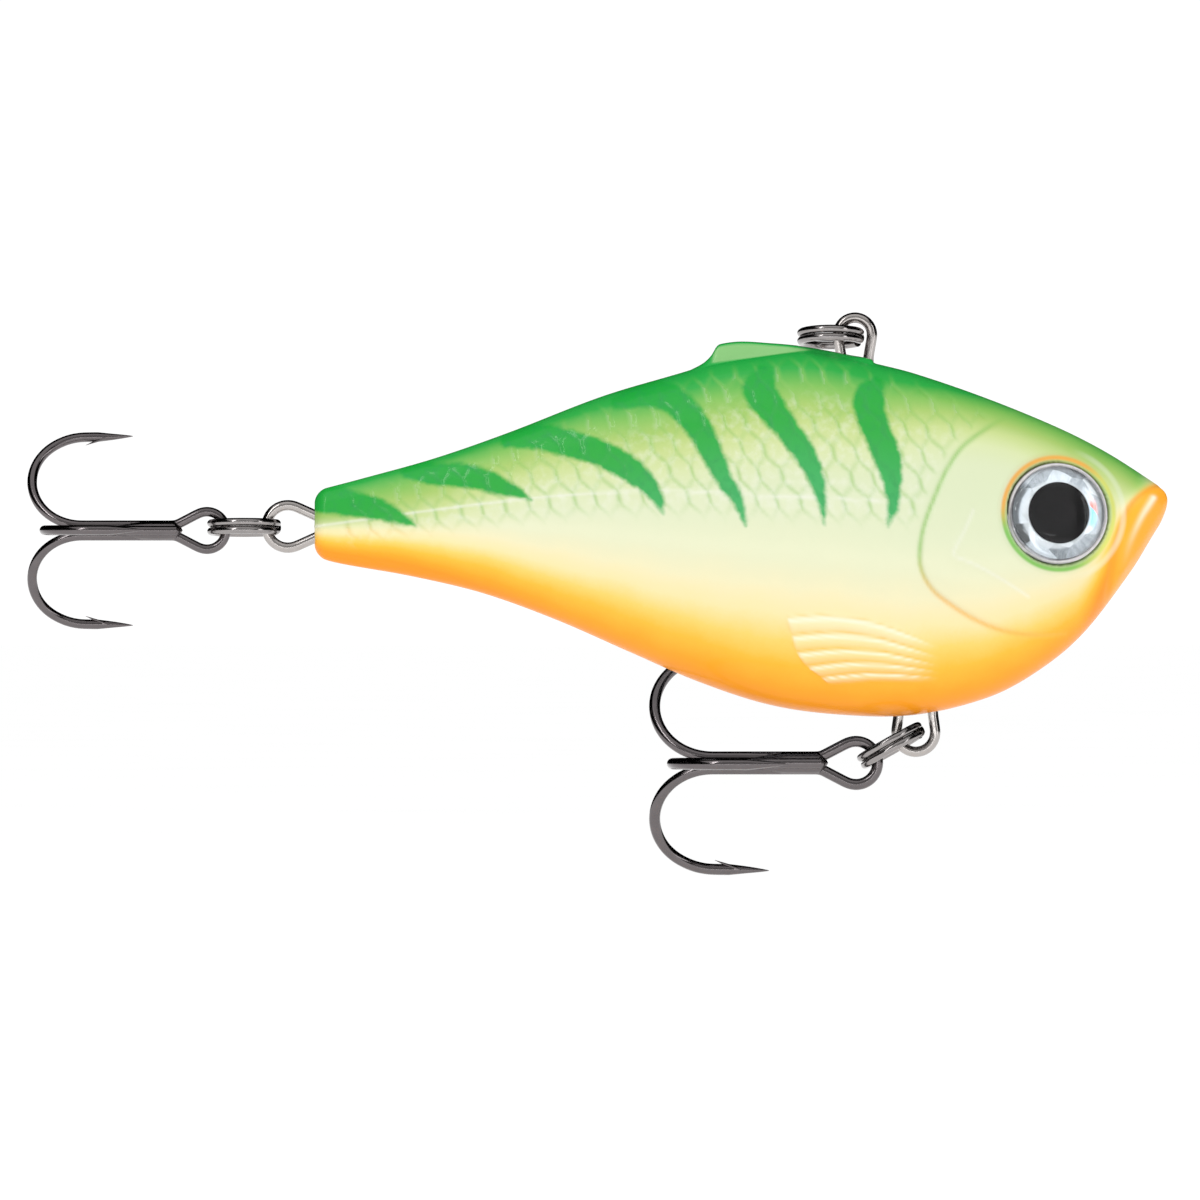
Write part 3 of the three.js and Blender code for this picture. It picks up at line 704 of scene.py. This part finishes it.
def body_paint(f):
    rise = f.attribute("rise")
    depth = f.attribute("depth")
    x = f.node("SeparateXYZ", output=0, Vector=f.place())
    cloud = f.noise(0.35, 2) - 0.5
    grain = f.noise(3.5, 4) - 0.5

    # Orange climbs toward the nose and the tail.
    climb = x.step(18, 27) * 0.9 + x.step(-22, -44) * 0.13
    tone = rise - climb + cloud * 0.04 + grain * 0.015
    colour = f.ramp(tone, [
        (0.0, srgb(248, 148, 8)), (0.06, srgb(251, 163, 20)), (0.13, srgb(253, 186, 50)),
        (0.19, srgb(254, 210, 104)), (0.26, srgb(254, 233, 172)), (0.34, srgb(251, 244, 200)),
        (0.42, srgb(244, 246, 208)), (0.52, srgb(237, 244, 207)), (0.66, srgb(231, 241, 202)),
        (1.0, srgb(226, 237, 192)),
    ])

    # Green comes down from the back, deepest over the shoulder.
    reach = 0.56 + x.step(12, -4) * 0.44 - x.step(-10, -30) * 0.24
    down = depth / reach / 12 + cloud * 0.05 + x.step(0, 17) * 0.18 + x.step(-15, -28) * 0.1
    green = f.ramp(down, [
        (0.0, srgb(20, 180, 70)), (0.13, srgb(44, 183, 72)), (0.26, srgb(134, 200, 90)),
        (0.39, srgb(176, 211, 112)), (0.53, srgb(207, 226, 146)), (0.72, srgb(224, 236, 172)),
    ])
    brow_tone = tone + x.step(19, 24) * 0.2
    colour = f.mix(down.step(1.0, 0.5) * x.step(25.4, 23) * brow_tone.step(0.22, 0.5), colour, green)

    # Stripes, their edges broken up a little by noise.
    soft = f.attribute("stripe") + grain * 0.14 + (f.noise(1.2, 2) - 0.5) * 0.42
    stripe_mask = soft.step(0.28, -0.24)
    stripe_green = f.mix(depth.step(4, 13), srgb(12, 178, 58), srgb(60, 187, 104))
    # Painted shade darkens the scale grooves inside the stripes, and noise mottles them.
    groove_shade_and_mottle = f.attribute("scale_groove") * 0.35 + f.noise(1.6, 4).step(0.45, 0.75) * 0.35
    stripe_green = f.mix(groove_shade_and_mottle, stripe_green, srgb(24, 162, 84))
    colour = f.mix(stripe_mask * 0.97, colour, stripe_green)

    # Painted shade darkens the grooves: green above, amber below.
    amber, leaf = srgb(254, 190, 84), srgb(144, 202, 96)
    scale_groove_shade = f.attribute("scale_groove") * 0.5 * (1 - stripe_mask * 0.95)
    colour = f.mix(scale_groove_shade, colour, f.mix(tone.step(0.24, 0.42), amber, leaf))
    colour = f.mix(f.attribute("gill") * 0.75, colour, f.mix(tone.step(0.33, 0.49), amber, leaf))
    # Painted shade in the fin's grooves, a painted highlight over each ray and a brighter one along its
    # crest.
    for mask, share, tint in (("fin_groove_shade", 0.55, (253, 196, 96)), ("fin_ray_highlight", 0.3, (255, 246, 216)),
                              ("fin_crest_highlight", 0.65, (255, 251, 232))):
        colour = f.mix(f.attribute(mask) * share, colour, srgb(*tint))
    # Paler paint on the lateral line and cheek marks; the flecks over the scales and the raised side of
    # each scale are painted highlights.
    highlight_flecks = f.attribute("scaly") * f.noise(1.3, 4).step(0.42, 0.75) * depth.step(2.5, 5.5)
    pale = (f.attribute("lateral") * 0.5 + f.attribute("cheek") * 0.45 + highlight_flecks * 0.3
            + f.attribute("scale_tilt_highlight").step(0.45, 0.95) * 0.12)
    colour = f.mix(pale * (1 - stripe_mask), colour, srgb(252, 253, 240))

    # Lip with a painted highlight along its ridge, fin panel, eye socket and a painted highlight arc in
    # front of the eye.
    colour = f.mix(f.attribute("lip") * 0.8, colour, srgb(253, 174, 40))
    colour = f.mix(f.attribute("lip_edge") * 0.8, colour, srgb(250, 158, 30))
    # Painted highlight along the lip's ridge.
    colour = f.mix(f.attribute("lip_ridge_and_highlight") * rise.step(0.1, 0.75) * 0.85, colour, srgb(255, 244, 222))
    colour = f.mix(f.attribute("panel") * 0.9, colour, srgb(150, 210, 132))
    radius = f.attribute("socket")
    turn = f.attribute("socket_turn")
    warm = turn.step(85, 50)
    ring_colour = f.mix((x - EYE_X).step(1, 4), srgb(128, 206, 84), srgb(222, 228, 110))
    ring_colour = f.mix(warm, ring_colour, srgb(255, 180, 70))
    colour = f.mix(radius.step(4.7, 4.4) * 0.55, colour, srgb(158, 212, 118))
    thin = (radius - 4.64).math("ABSOLUTE").step(0.3, 0.04) * 0.75 + radius.step(5.3, 4.6) * 0.15
    colour = f.mix(thin, colour, ring_colour)
    # Painted highlight: a pale arc in front of the eye.
    brow_highlight = (radius - 5.45).math("ABSOLUTE").step(0.4, 0.05) * (x - EYE_X).step(1.0, 3.5)
    colour = f.mix(brow_highlight * 0.35, colour, srgb(240, 248, 226))
    # Painted shade over the whole coat: the colour is darkened, least on the belly and lip and most on the
    # pale flank, to suit the lamps above.
    pale_part = tone.step(0.02, 0.42) * (1 - f.attribute("lip"))
    shade = BELLY_SHADE - pale_part * (BELLY_SHADE - FLANK_SHADE)
    colour = f.mix(1.0, colour, f.node("CombineColor", Red=shade, Green=shade, Blue=shade), "MULTIPLY")
    f.set("Base Color", colour)
    f.set("Roughness", 0.42 + cloud * 0.1 + grain * 0.1)
    f.bump(f.noise(2.2, 3), 0.004)


body_paint(paint)
print("paint nodes", len(paint.tree.nodes))

# %% Dress the body


def dress(obj, finish, body, slot, *nodes):
    """Gives a piece its finish and says which body carries it and which plain nodes it stands for."""
    obj.data.materials.clear()
    obj.data.materials.append(finish.material)
    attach(obj, body)
    if nodes:
        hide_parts(*nodes)


dress(body_halves["body_skin_right"], paint, "lure_body", "body_paint", "body_shell_right")
dress(body_halves["body_skin_left"], paint, "lure_body", "body_paint", "body_shell_left")
# The wire hooks hang close under the belly and would mirror its orange, so reflections leave it out.
for half in body_halves.values():
    half.visible_glossy = False
print("body dressed")

# %% [markdown]
# ## Wire
# Hangers, split rings and hooks are all bent wire. The easy way to make wire is a curve with a round
# bevel: the curve gives the bends, each point's radius gives the taper, and converting it to a mesh gives
# a clean tube with closed ends.


# %% Wire helper
def smooth(obj, degrees):
    """Shades edges that bend less than the angle smooth, and leaves the others sharp."""
    deselect()
    obj.select_set(True)
    bpy.ops.object.shade_smooth_by_angle(angle=math.radians(degrees))


def weld(obj, gap, degrees):
    """Closes the active mesh's seams, faces it outward and smooths it."""
    bpy.ops.object.mode_set(mode="EDIT")
    bpy.ops.mesh.select_all(action="SELECT")
    bpy.ops.mesh.remove_doubles(threshold=gap)
    bpy.ops.mesh.normals_make_consistent(inside=False)
    bpy.ops.object.mode_set(mode="OBJECT")
    smooth(obj, degrees)


def make_wire(name, points, radius, taper=None, sides=5):
    """A closed tube along points in mm; taper gives each point's share of the radius."""
    deselect()
    bpy.ops.curve.primitive_bezier_curve_add()
    obj = bpy.context.object
    obj.name = name
    curve = obj.data
    curve.splines.clear()
    curve.dimensions = "3D"
    curve.twist_mode = "MINIMUM"
    curve.bevel_depth = radius * MM
    curve.bevel_resolution = sides
    curve.use_fill_caps = True
    spline = curve.splines.new("POLY")
    spline.points.add(len(points) - 1)
    for index, (point, place) in enumerate(zip(spline.points, points)):
        point.co = (*(Vector(place) * MM), 1)
        point.radius = 1 if taper is None else taper[index]
    bpy.ops.object.convert(target="MESH")
    obj = bpy.context.object
    weld(obj, 1e-7, 50)
    return obj


def arc(centre, radius, u, v, start, end, count):
    """Points on an arc from start to end degrees, in the plane of u and v."""
    angles = np.radians(np.linspace(start, end, count))[:, None]
    return np.array(centre) + radius * (np.cos(angles) * np.array(u) + np.sin(angles) * np.array(v))


def rounded(points, spacing=0.12, passes=14):
    """The same path with even, close points and its corners eased."""
    points = np.array(points, float)
    steps = lengths_along(points)
    count = int(steps[-1] / spacing)
    even = np.stack([np.interp(np.linspace(0, steps[-1], count), steps, c) for c in points.T], axis=1)
    for _ in range(passes):
        even[1:-1] = (even[:-2] + 2 * even[1:-1] + even[2:]) / 4
    return even


AXIS_X, AXIS_Y, AXIS_Z = np.eye(3)
print("wire helper ready")

# %% [markdown]
# ### Hangers
# Each hanger is one wire: a loop outside and two legs that go into the plastic. Only the loops show.

# %% Hangers
HANGER_WIRE = 0.86
LINE_TIE = dict(centre=(0, 0, 0), out=AXIS_Z, loop=1.41, neck=1.9, deep=6.6, spread=1.1)
BELLY_HANGER = dict(centre=(5, 0, -32.7), out=-AXIS_Z, loop=1.6, neck=1.5, deep=6.4, spread=1.4)
TAIL_HANGER = dict(centre=(-46.6, 0, -15.77), out=-AXIS_X, loop=1.76, neck=2.9, deep=9, spread=0.62)


def teardrop(centre, out, side, loop, neck, spread, count=60):
    """A loop round centre that closes toward two legs; neck is how far behind the legs begin."""
    reach = math.hypot(neck, spread)
    open_angle = 180 - math.degrees(math.atan2(spread, neck) + math.acos(min(loop / reach, 1)))
    return arc(centre, loop, out, side, -open_angle, open_angle, count)


def hanger(name, centre, out, loop, neck, deep, spread):
    centre = np.array(centre, float)
    side = np.cross(out, AXIS_Y)
    legs = [centre - out * deep - side * spread, centre - out * neck - side * spread]
    path = [*legs, *teardrop(centre, out, side, loop, neck, spread),
            *(leg + 2 * side * spread for leg in reversed(legs))]
    return make_wire(name, rounded(path, 0.1, 10), HANGER_WIRE / 2, sides=6)


line_tie = hanger("line_tie_loop", **LINE_TIE)
belly_hanger = hanger("belly_hanger_loop", **BELLY_HANGER)
tail_hanger = hanger("tail_hanger_loop", **TAIL_HANGER)
print("hanger faces", len(line_tie.data.polygons))

# %% [markdown]
# ### Split rings
# A split ring is two turns of springy wire. The lower coil climbs to the upper level just before it
# reaches its own cut end, so the ends lie either side of a small step.

# %% Split rings
RING_WIRE = 0.64
RING_LIFT = 0.33
RING_TURN = 690
RING_CLIMB = (318, 360)
RING_END = 25
RING_POINTS = 230


def split_ring(name, centre, radius, tilt, roll):
    """Two turns; tilt turns the ring in the side view, and roll lifts its near side."""
    tilt, roll = math.radians(tilt), math.radians(roll)
    along = np.array([math.cos(tilt), 0, math.sin(tilt)])
    level = np.array([-math.sin(tilt), 0, math.cos(tilt)])
    across = AXIS_Y * math.cos(roll) - level * math.sin(roll)
    up = level * math.cos(roll) + AXIS_Y * math.sin(roll)
    points = arc(centre, radius, along, across, RING_END, RING_END + RING_TURN, RING_POINTS)
    climbed = ease(np.linspace(0, RING_TURN, RING_POINTS), *RING_CLIMB)
    points = points + (RING_LIFT * (2 * climbed - 1))[:, None] * up
    return make_wire(name, points, RING_WIRE / 2, sides=5)


line_ring = split_ring("line_tie_ring", (-1.99, 0, -0.2), 2.44, 0, 8)
tail_ring = split_ring("tail_ring", (-50.19, 0, -15.85), 2.72, 0, 2.8)
belly_ring = split_ring("belly_ring", (2.99, 0, -33.76), 2.69, 29.4, 3)
print("ring faces", len(line_ring.data.polygons))

# %% [markdown]
# ### Treble hooks
# A treble is two pieces of wire. One is bent double: point, bend, shank, eye, shank, bend, point. The
# third point is a single wire brazed into the groove between the two shanks, a little nearer the eye.
# All measures are for the tail hook; the belly hook is the same, one size larger.

# %% Treble hooks
HOOK_WIRE = 0.8
EYE_LOOP = 1.56
SHANK_APART = 0.43
NECK = 2.55
BEND_START = 10.1
BEND = 4.45
BEND_DEPTH = 4.35
POINT_LENGTH = 3.9
THIRD_SHIFT = 1.25
THIRD_START = 2.5
POINT_TAPER = 2.9
POINT_LEAN = np.array([0.03, 0.1])
THIRD_LIFT = 0.03
BEND_POINTS = 40
BARB_AT = 0.9
BARB_INSET = 0.36
BARB_RADIUS = 0.34
BARB_LENGTH = 2.0
BRAZE_LENGTH = 6.0
BRAZE_RADIUS = 0.76
BRAZE_ASIDE = 0.1


def hook_eye(hook):
    return np.array([hook["x"], 0, hook["z"]])


def out_from_shank(degrees):
    return np.array([0, -math.cos(math.radians(degrees)), math.sin(math.radians(degrees))])


def prong(hook, out, shift, offset, sign):
    """Shank end, round bend and point, in the plane of the shank and one direction out from it."""
    angle = np.linspace(-math.pi / 2, math.pi / 2, BEND_POINTS)
    along = BEND_START + BEND_DEPTH * np.cos(angle) - shift
    across = offset + BEND * (1 + np.sin(angle))
    aside = sign * SHANK_APART * np.clip(1 - np.linspace(0, 1, BEND_POINTS) * 1.2, 0, 1)
    height = offset + 2 * BEND
    along = np.append(along, [BEND_START - POINT_LENGTH * 0.55 - shift, BEND_START - POINT_LENGTH - shift])
    across = np.append(across, height + POINT_LEAN)
    aside = np.append(aside, [0, 0])
    return hook_eye(hook) + hook["scale"] * (
        np.outer(along, -AXIS_X) + np.outer(across, out) + np.outer(aside, AXIS_Z))


def point_taper(points, both_ends, length):
    steps = lengths_along(points)
    from_end = steps[-1] - steps
    if both_ends:
        from_end = np.minimum(from_end, steps)
    return np.clip(from_end / length, 0, 1) ** 0.8 * 0.96 + 0.04


def barb(hook, out, shift, offset):
    """A raised sliver on the inner side of the point, leaning back toward the bend."""
    s = hook["scale"]
    deselect()
    bpy.ops.mesh.primitive_cone_add(vertices=16, radius1=BARB_RADIUS * s * MM, radius2=0.02 * s * MM,
                                    depth=BARB_LENGTH * s * MM)
    spur = bpy.context.object
    bpy.ops.object.mode_set(mode="EDIT")
    bpy.ops.transform.resize(value=(1, 0.6, 1))
    bpy.ops.object.mode_set(mode="OBJECT")
    lean = Vector(-AXIS_X * 0.91 - out * 0.42)
    place = (hook_eye(hook) - AXIS_X * s * (BEND_START - BARB_AT - shift)
             + out * s * (offset + 2 * BEND - BARB_INSET))
    spur.data.transform(lean.to_track_quat("Z", "Y").to_matrix().to_4x4())
    spur.data.transform(Matrix.Translation(Vector(place) * MM))
    return spur


def join_solid(obj, others):
    """Joins closed shapes into one skin."""
    for other in others:
        union = obj.modifiers.new("join", "BOOLEAN")
        union.operation = "UNION"
        union.solver = "EXACT"
        union.object = other
        bpy.context.view_layer.objects.active = obj
        bpy.ops.object.modifier_apply(modifier=union.name)
        bpy.data.objects.remove(other)
    smooth(obj, 40)
    return obj


def braze(hook):
    """The solder that fills the grooves between the shanks, thinning out toward the bend."""
    s = hook["scale"]
    along = np.linspace(NECK - 0.55, NECK + BRAZE_LENGTH, 30)
    points = [hook_eye(hook) - s * (a * AXIS_X + BRAZE_ASIDE * AXIS_Y) for a in along]
    share = np.clip((along - along[0]) / 0.7, 0, 1) ** 0.5 * (1 - 0.45 * ease(along, NECK + 2, along[-1]))
    return make_wire("braze", points, BRAZE_RADIUS * s, share + 0.02, sides=6)


def double_hook(name, hook):
    s = hook["scale"]
    axis = hook_eye(hook)
    upper, lower = out_from_shank(120), out_from_shank(-120)
    halves = []
    for out, sign in ((lower, -1), (upper, 1)):
        neck = axis - AXIS_X * s * NECK + AXIS_Z * s * sign * SHANK_APART
        halves.append([neck, *prong(hook, out, 0, 0, sign)])
    eye = teardrop(axis, AXIS_X, AXIS_Z, s * EYE_LOOP, s * NECK, s * SHANK_APART)
    path = rounded([*reversed(halves[0]), *eye, *halves[1]], 0.12, 8)
    wire = make_wire(name, path, HOOK_WIRE * s / 2, point_taper(path, True, POINT_TAPER * s), sides=6)
    return join_solid(wire, [barb(hook, upper, 0, 0), barb(hook, lower, 0, 0), braze(hook)])


def third_hook(name, hook):
    s = hook["scale"]
    offset = math.sqrt(HOOK_WIRE ** 2 - SHANK_APART ** 2) + THIRD_LIFT
    out = out_from_shank(0)
    start = hook_eye(hook) - s * (THIRD_START * AXIS_X + offset * AXIS_Y)
    path = rounded([start, *prong(hook, out, THIRD_SHIFT, offset, 0)], 0.12, 8)
    wire = make_wire(name, path, HOOK_WIRE * s / 2, point_taper(path, False, POINT_TAPER * s), sides=6)
    return join_solid(wire, [barb(hook, out, THIRD_SHIFT, offset)])


TAIL_HOOK = dict(x=-53.24, z=-16.1, scale=1)
BELLY_HOOK = dict(x=0.085, z=-35.2, scale=1.145)
tail_double = double_hook("tail_hook_two_points", TAIL_HOOK)
tail_third = third_hook("tail_hook_third_point", TAIL_HOOK)
belly_double = double_hook("belly_hook_two_points", BELLY_HOOK)
belly_third = third_hook("belly_hook_third_point", BELLY_HOOK)
print("hook faces", len(tail_double.data.polygons))

# %% [markdown]
# ## Metal finishes
# Hanger wire is bright drawn steel; rings and hooks are plated black nickel, which is a dark, warm mirror.
# A fine grain and a little cloudiness keep the reflections from looking computer-made.


# %% Metal finishes
def metal(name, colour, roughness, scratch):
    f = Finish(name, {"Metallic": 1.0})
    cloud = f.noise(0.9, 3)
    fine = f.noise(6, 2)
    f.set("Base Color", f.mix(cloud * 0.6, srgb(*colour), srgb(*(c * 0.8 for c in colour))))
    f.set("Roughness", roughness + cloud * 0.08 + fine * scratch)
    f.bump(fine, 0.0004)
    return f


hanger_steel = metal("hanger_steel", (176, 171, 168), 0.1, 0.06)
ring_steel = metal("ring_steel", (150, 146, 145), 0.1, 0.05)
hook_steel = metal("hook_steel", (108, 103, 104), 0.1, 0.05)

for obj, node in ((line_tie, "line_tie_wire"), (belly_hanger, "belly_hanger_wire"),
                  (tail_hanger, "tail_hanger_wire")):
    dress(obj, hanger_steel, "lure_body", "hanger_steel", node)
for obj, body, node in ((line_ring, "line_tie_ring", "line_tie_split_ring"),
                        (tail_ring, "tail_ring", "tail_split_ring"),
                        (belly_ring, "belly_ring", "belly_split_ring")):
    dress(obj, ring_steel, body, "ring_steel", node)
for obj, body, node in ((tail_double, "tail_hook", "tail_hook_double"),
                        (tail_third, "tail_hook", "tail_hook_third"),
                        (belly_double, "belly_hook", "belly_hook_double"),
                        (belly_third, "belly_hook", "belly_hook_third")):
    dress(obj, hook_steel, body, "hook_steel", node)
print("metal dressed")

# %% [markdown]
# ## Eyes
# A lure eye is a disc of foil with a black pupil under a clear cast dome. The foil has a smooth outer rim,
# then a narrow sloping band pressed into facets. Its profile is spun round the eye's axis.

# %% Eye pieces
SPIN_STEPS = 96


def spun(name, profile, sign, steps=SPIN_STEPS):
    """Spins a closed or axis-to-axis profile of (radius, height) in mm into a solid on an eye's place."""
    deselect()
    bpy.ops.mesh.primitive_plane_add(size=1)
    obj = bpy.context.object
    obj.name = name
    bpy.ops.object.mode_set(mode="EDIT")
    bpy.ops.mesh.select_all(action="SELECT")
    bpy.ops.mesh.delete(type="VERT")
    bpy.ops.object.mode_set(mode="OBJECT")
    obj.data.from_pydata([(r * MM, 0, h * MM) for r, h in profile],
                         [(i, i + 1) for i in range(len(profile) - 1)], [])
    bpy.ops.object.mode_set(mode="EDIT")
    bpy.ops.mesh.select_all(action="SELECT")
    bpy.ops.mesh.spin(steps=steps, angle=2 * math.pi, center=(0, 0, 0), axis=(0, 0, 1))
    weld(obj, 1e-6, 30)
    obj.data.transform(eye_matrix(sign))
    return obj


foil_profile = [
    (2.3, 0.1), (4.12, 0.1), (4.16, 0.5), (4.14, 0.86), (4.07, 1.0), (3.96, 1.05), (3.86, 0.98),
    (3.8, 0.8), (3.72, 0.66), (3.5, 0.69), (2.66, 0.99), (2.54, 1.0), (2.42, 0.95), (2.3, 0.7),
    (2.3, 0.1),
]
pupil_profile = [(0, 0.12), (2.26, 0.12), (2.26, 0.6), (2.52, 1.06), (2.3, 1.14), (1.4, 1.22), (0, 1.27)]


def dome_profile():
    """A shallow lens from the foil's valley up over the pupil."""
    top = [(3.82 * math.cos(a), 1.1 + 0.64 * math.sin(a)) for a in np.linspace(0, math.pi / 2, 18)]
    return [(0, 1.29), (1.4, 1.24), (2.3, 1.16), (2.56, 1.08), (2.7, 1.05), (3.4, 0.76), (3.76, 0.8), *top]


eyes = []
for side, sign in (("right", -1), ("left", 1)):
    eyes.append((side, spun("eye_foil_rim_" + side, foil_profile, sign),
                 spun("eye_pupil_disc_" + side, pupil_profile, sign),
                 spun("eye_lens_" + side, dome_profile(), sign)))
print("eyes", len(eyes))

# %% Eye finishes


def eye_polar(f):
    """Distance from the eye's axis in mm and the angle round it, in turns, on either side of the head."""
    x = f.node("SeparateXYZ", output=0, Vector=f.place()) - EYE_X
    z = f.node("SeparateXYZ", output=2, Vector=f.place()) - EYE_Z
    radius = (x * x + z * z).math("SQRT")
    return radius, z.math("ARCTAN2", x) / (2 * math.pi)


def eye_foil():
    f = Finish("eye_foil", {"Coat Weight": 0.5})
    radius, turn = eye_polar(f)
    side = (f.node("SeparateXYZ", output=0, Vector=f.place()) - EYE_X) / radius
    cell = f.node("TexVoronoi", {"voronoi_dimensions": "2D"}, output=1, Scale=1.0,
                  Vector=f.node("CombineXYZ", X=turn * 11, Y=radius * 1.1, Z=0.0))
    bright = f.node("SeparateXYZ", output=0, Vector=cell)
    hue = f.node("SeparateXYZ", output=1, Vector=cell)
    streak = f.node("TexNoise", Scale=1.0, Detail=3.0,
                    Vector=f.node("CombineXYZ", X=turn * 70, Y=radius * 1.2, Z=0.0))
    # Painted shade darkens the foil's rear edge, and a little painted light brightens its front half.
    rear = (0 - side).step(0.62, 0.85) * radius.step(2.9, 3.2)
    silver_tone = bright * 0.7 + streak * 0.35 - rear * 0.55 + side.step(0.0, 0.9) * 0.1
    silver = f.ramp(silver_tone, [
        (0.1, srgb(58, 60, 62)), (0.35, srgb(132, 137, 142)), (0.55, srgb(184, 189, 194)),
        (0.75, srgb(214, 219, 224)), (0.95, srgb(244, 246, 248)),
    ])
    # Painted glints: flecks of colour on the front edge of the faceted band.
    tint = f.ramp(hue, [
        (0.0, srgb(40, 140, 205)), (0.3, srgb(120, 190, 220)), (0.5, srgb(225, 228, 232)),
        (0.7, srgb(235, 120, 160)), (0.85, srgb(220, 60, 70)), (1.0, srgb(240, 200, 120)),
    ])
    faceted = f.mix(side.step(0.9, 0.98) * radius.step(3.5, 3.1) * 0.9, silver, tint)
    faceted = f.mix(radius.step(2.95, 2.65) * 0.75, faceted, srgb(222, 224, 226))
    faceted = f.mix(radius.step(3.5, 3.72) * 0.7, faceted, srgb(128, 126, 128))
    rim = f.mix(streak, srgb(152, 149, 151), srgb(196, 194, 195))
    band = radius.step(3.86, 3.76)
    f.set("Base Color", f.mix(band, rim, faceted))
    f.set("Metallic", band * 0.3)
    f.set("Roughness", 0.24 - band * 0.12)
    f.bump(bright * band, 0.03)
    return f


def eye_pupil():
    f = Finish("eye_pupil", {"Specular IOR Level": 0.0})
    f.set("Base Color", f.mix(f.noise(4, 3), srgb(14, 12, 13), srgb(24, 21, 22)))
    f.set("Roughness", 0.38 + f.noise(6, 2) * 0.1)
    return f


def eye_lens():
    f = Finish("eye_lens", {"Transmission Weight": 1.0, "IOR": 1.25})
    f.set("Base Color", f.mix(f.noise(1.5, 2), srgb(250, 252, 253), srgb(243, 247, 249)))
    f.set("Roughness", 0.02 + f.noise(5, 2) * 0.02)
    return f


foil_finish, pupil_finish, lens_finish = eye_foil(), eye_pupil(), eye_lens()
for side, foil, pupil, lens in eyes:
    dress(foil, foil_finish, "lure_body", "eye_foil", "eye_foil_" + side)
    dress(pupil, pupil_finish, "lure_body", "pupil_black", "eye_pupil_" + side)
    dress(lens, lens_finish, "lure_body", "clear_dome", "eye_dome_" + side)
print("eyes dressed")

# %% [markdown]
# ## Inside
# Ballast and rattle balls are sealed in and keep the engineering shapes. They still get real finishes, so
# the part is right when it is opened up.


# %% Inside finishes
def cast_metal():
    f = Finish("ballast_metal", {"Metallic": 0.85})
    pits = f.noise(2.5, 5)
    f.set("Base Color", f.mix(pits, srgb(120, 122, 126), srgb(158, 160, 164)))
    f.set("Roughness", 0.5 + pits * 0.25)
    f.bump(pits, 0.05)
    return f


ballast_metal = cast_metal()
ball_steel = metal("ball_steel", (205, 205, 208), 0.08, 0.05)
for name, finish in (("belly_ballast", ballast_metal), ("head_ballast", ballast_metal),
                     ("rattle_ball_rear", ball_steel), ("rattle_ball_middle", ball_steel),
                     ("rattle_ball_front", ball_steel)):
    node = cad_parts[name]
    node.data.materials.clear()
    node.data.materials.append(finish.material)
print("inside dressed")

# %% [markdown]
# ## Studio
# A wide white floor and a white world give a plain background. Soft boxes above and beside the
# lure make the long highlights on the wire and the gloss on the flank.

# %% Floor, world and lights
FLOOR_Z = -78 * MM
FLOOR_SIZE = 40
WORLD_STRENGTH = 1.06

deselect()
bpy.ops.mesh.primitive_plane_add(size=FLOOR_SIZE, location=(0, 0, FLOOR_Z))
floor = bpy.context.object
floor.name = "floor"
floor_finish = Finish("floor_white", {"Roughness": 0.9, "Specular IOR Level": 0.0})
floor_finish.set("Base Color", floor_finish.mix(
    floor_finish.noise(0.01, 2), srgb(250, 250, 250), srgb(247, 247, 247)))
floor.data.materials.append(floor_finish.material)

world = bpy.data.worlds.new("studio")
bpy.context.scene.world = world
world.use_nodes = True
world.node_tree.nodes["Background"].inputs[0].default_value = (1, 1, 1, 1)
world.node_tree.nodes["Background"].inputs[1].default_value = WORLD_STRENGTH
world.cycles_visibility.glossy = False
bpy.context.scene.view_settings.view_transform = "Standard"


def soft_box(name, place, size, power, aim=(-0.015, 0, -0.02)):
    light = bpy.data.objects.new(name, bpy.data.lights.new(name, "AREA"))
    bpy.context.scene.collection.objects.link(light)
    light.data.shape = "RECTANGLE"
    light.data.size, light.data.size_y = size
    light.data.energy = power
    light.location = place
    light.rotation_euler = (Vector(aim) - Vector(place)).to_track_quat("-Z", "Y").to_euler()


soft_box("key_box", (-0.05, -0.35, 0.6), (1.2, 0.6), 2.2)
soft_box("side_box", (0.5, -0.4, 0.12), (0.12, 0.4), 0.5)
soft_box("strip_light", (-0.4, -0.5, 0.35), (0.06, 0.5), 1.0)
soft_box("low_strip", (-0.1, -0.6, -0.05), (0.7, 0.02), 0.2)
soft_box("front_panel", (0, -1.8, 0.3), (2.2, 1.6), 6)
print("studio ready")
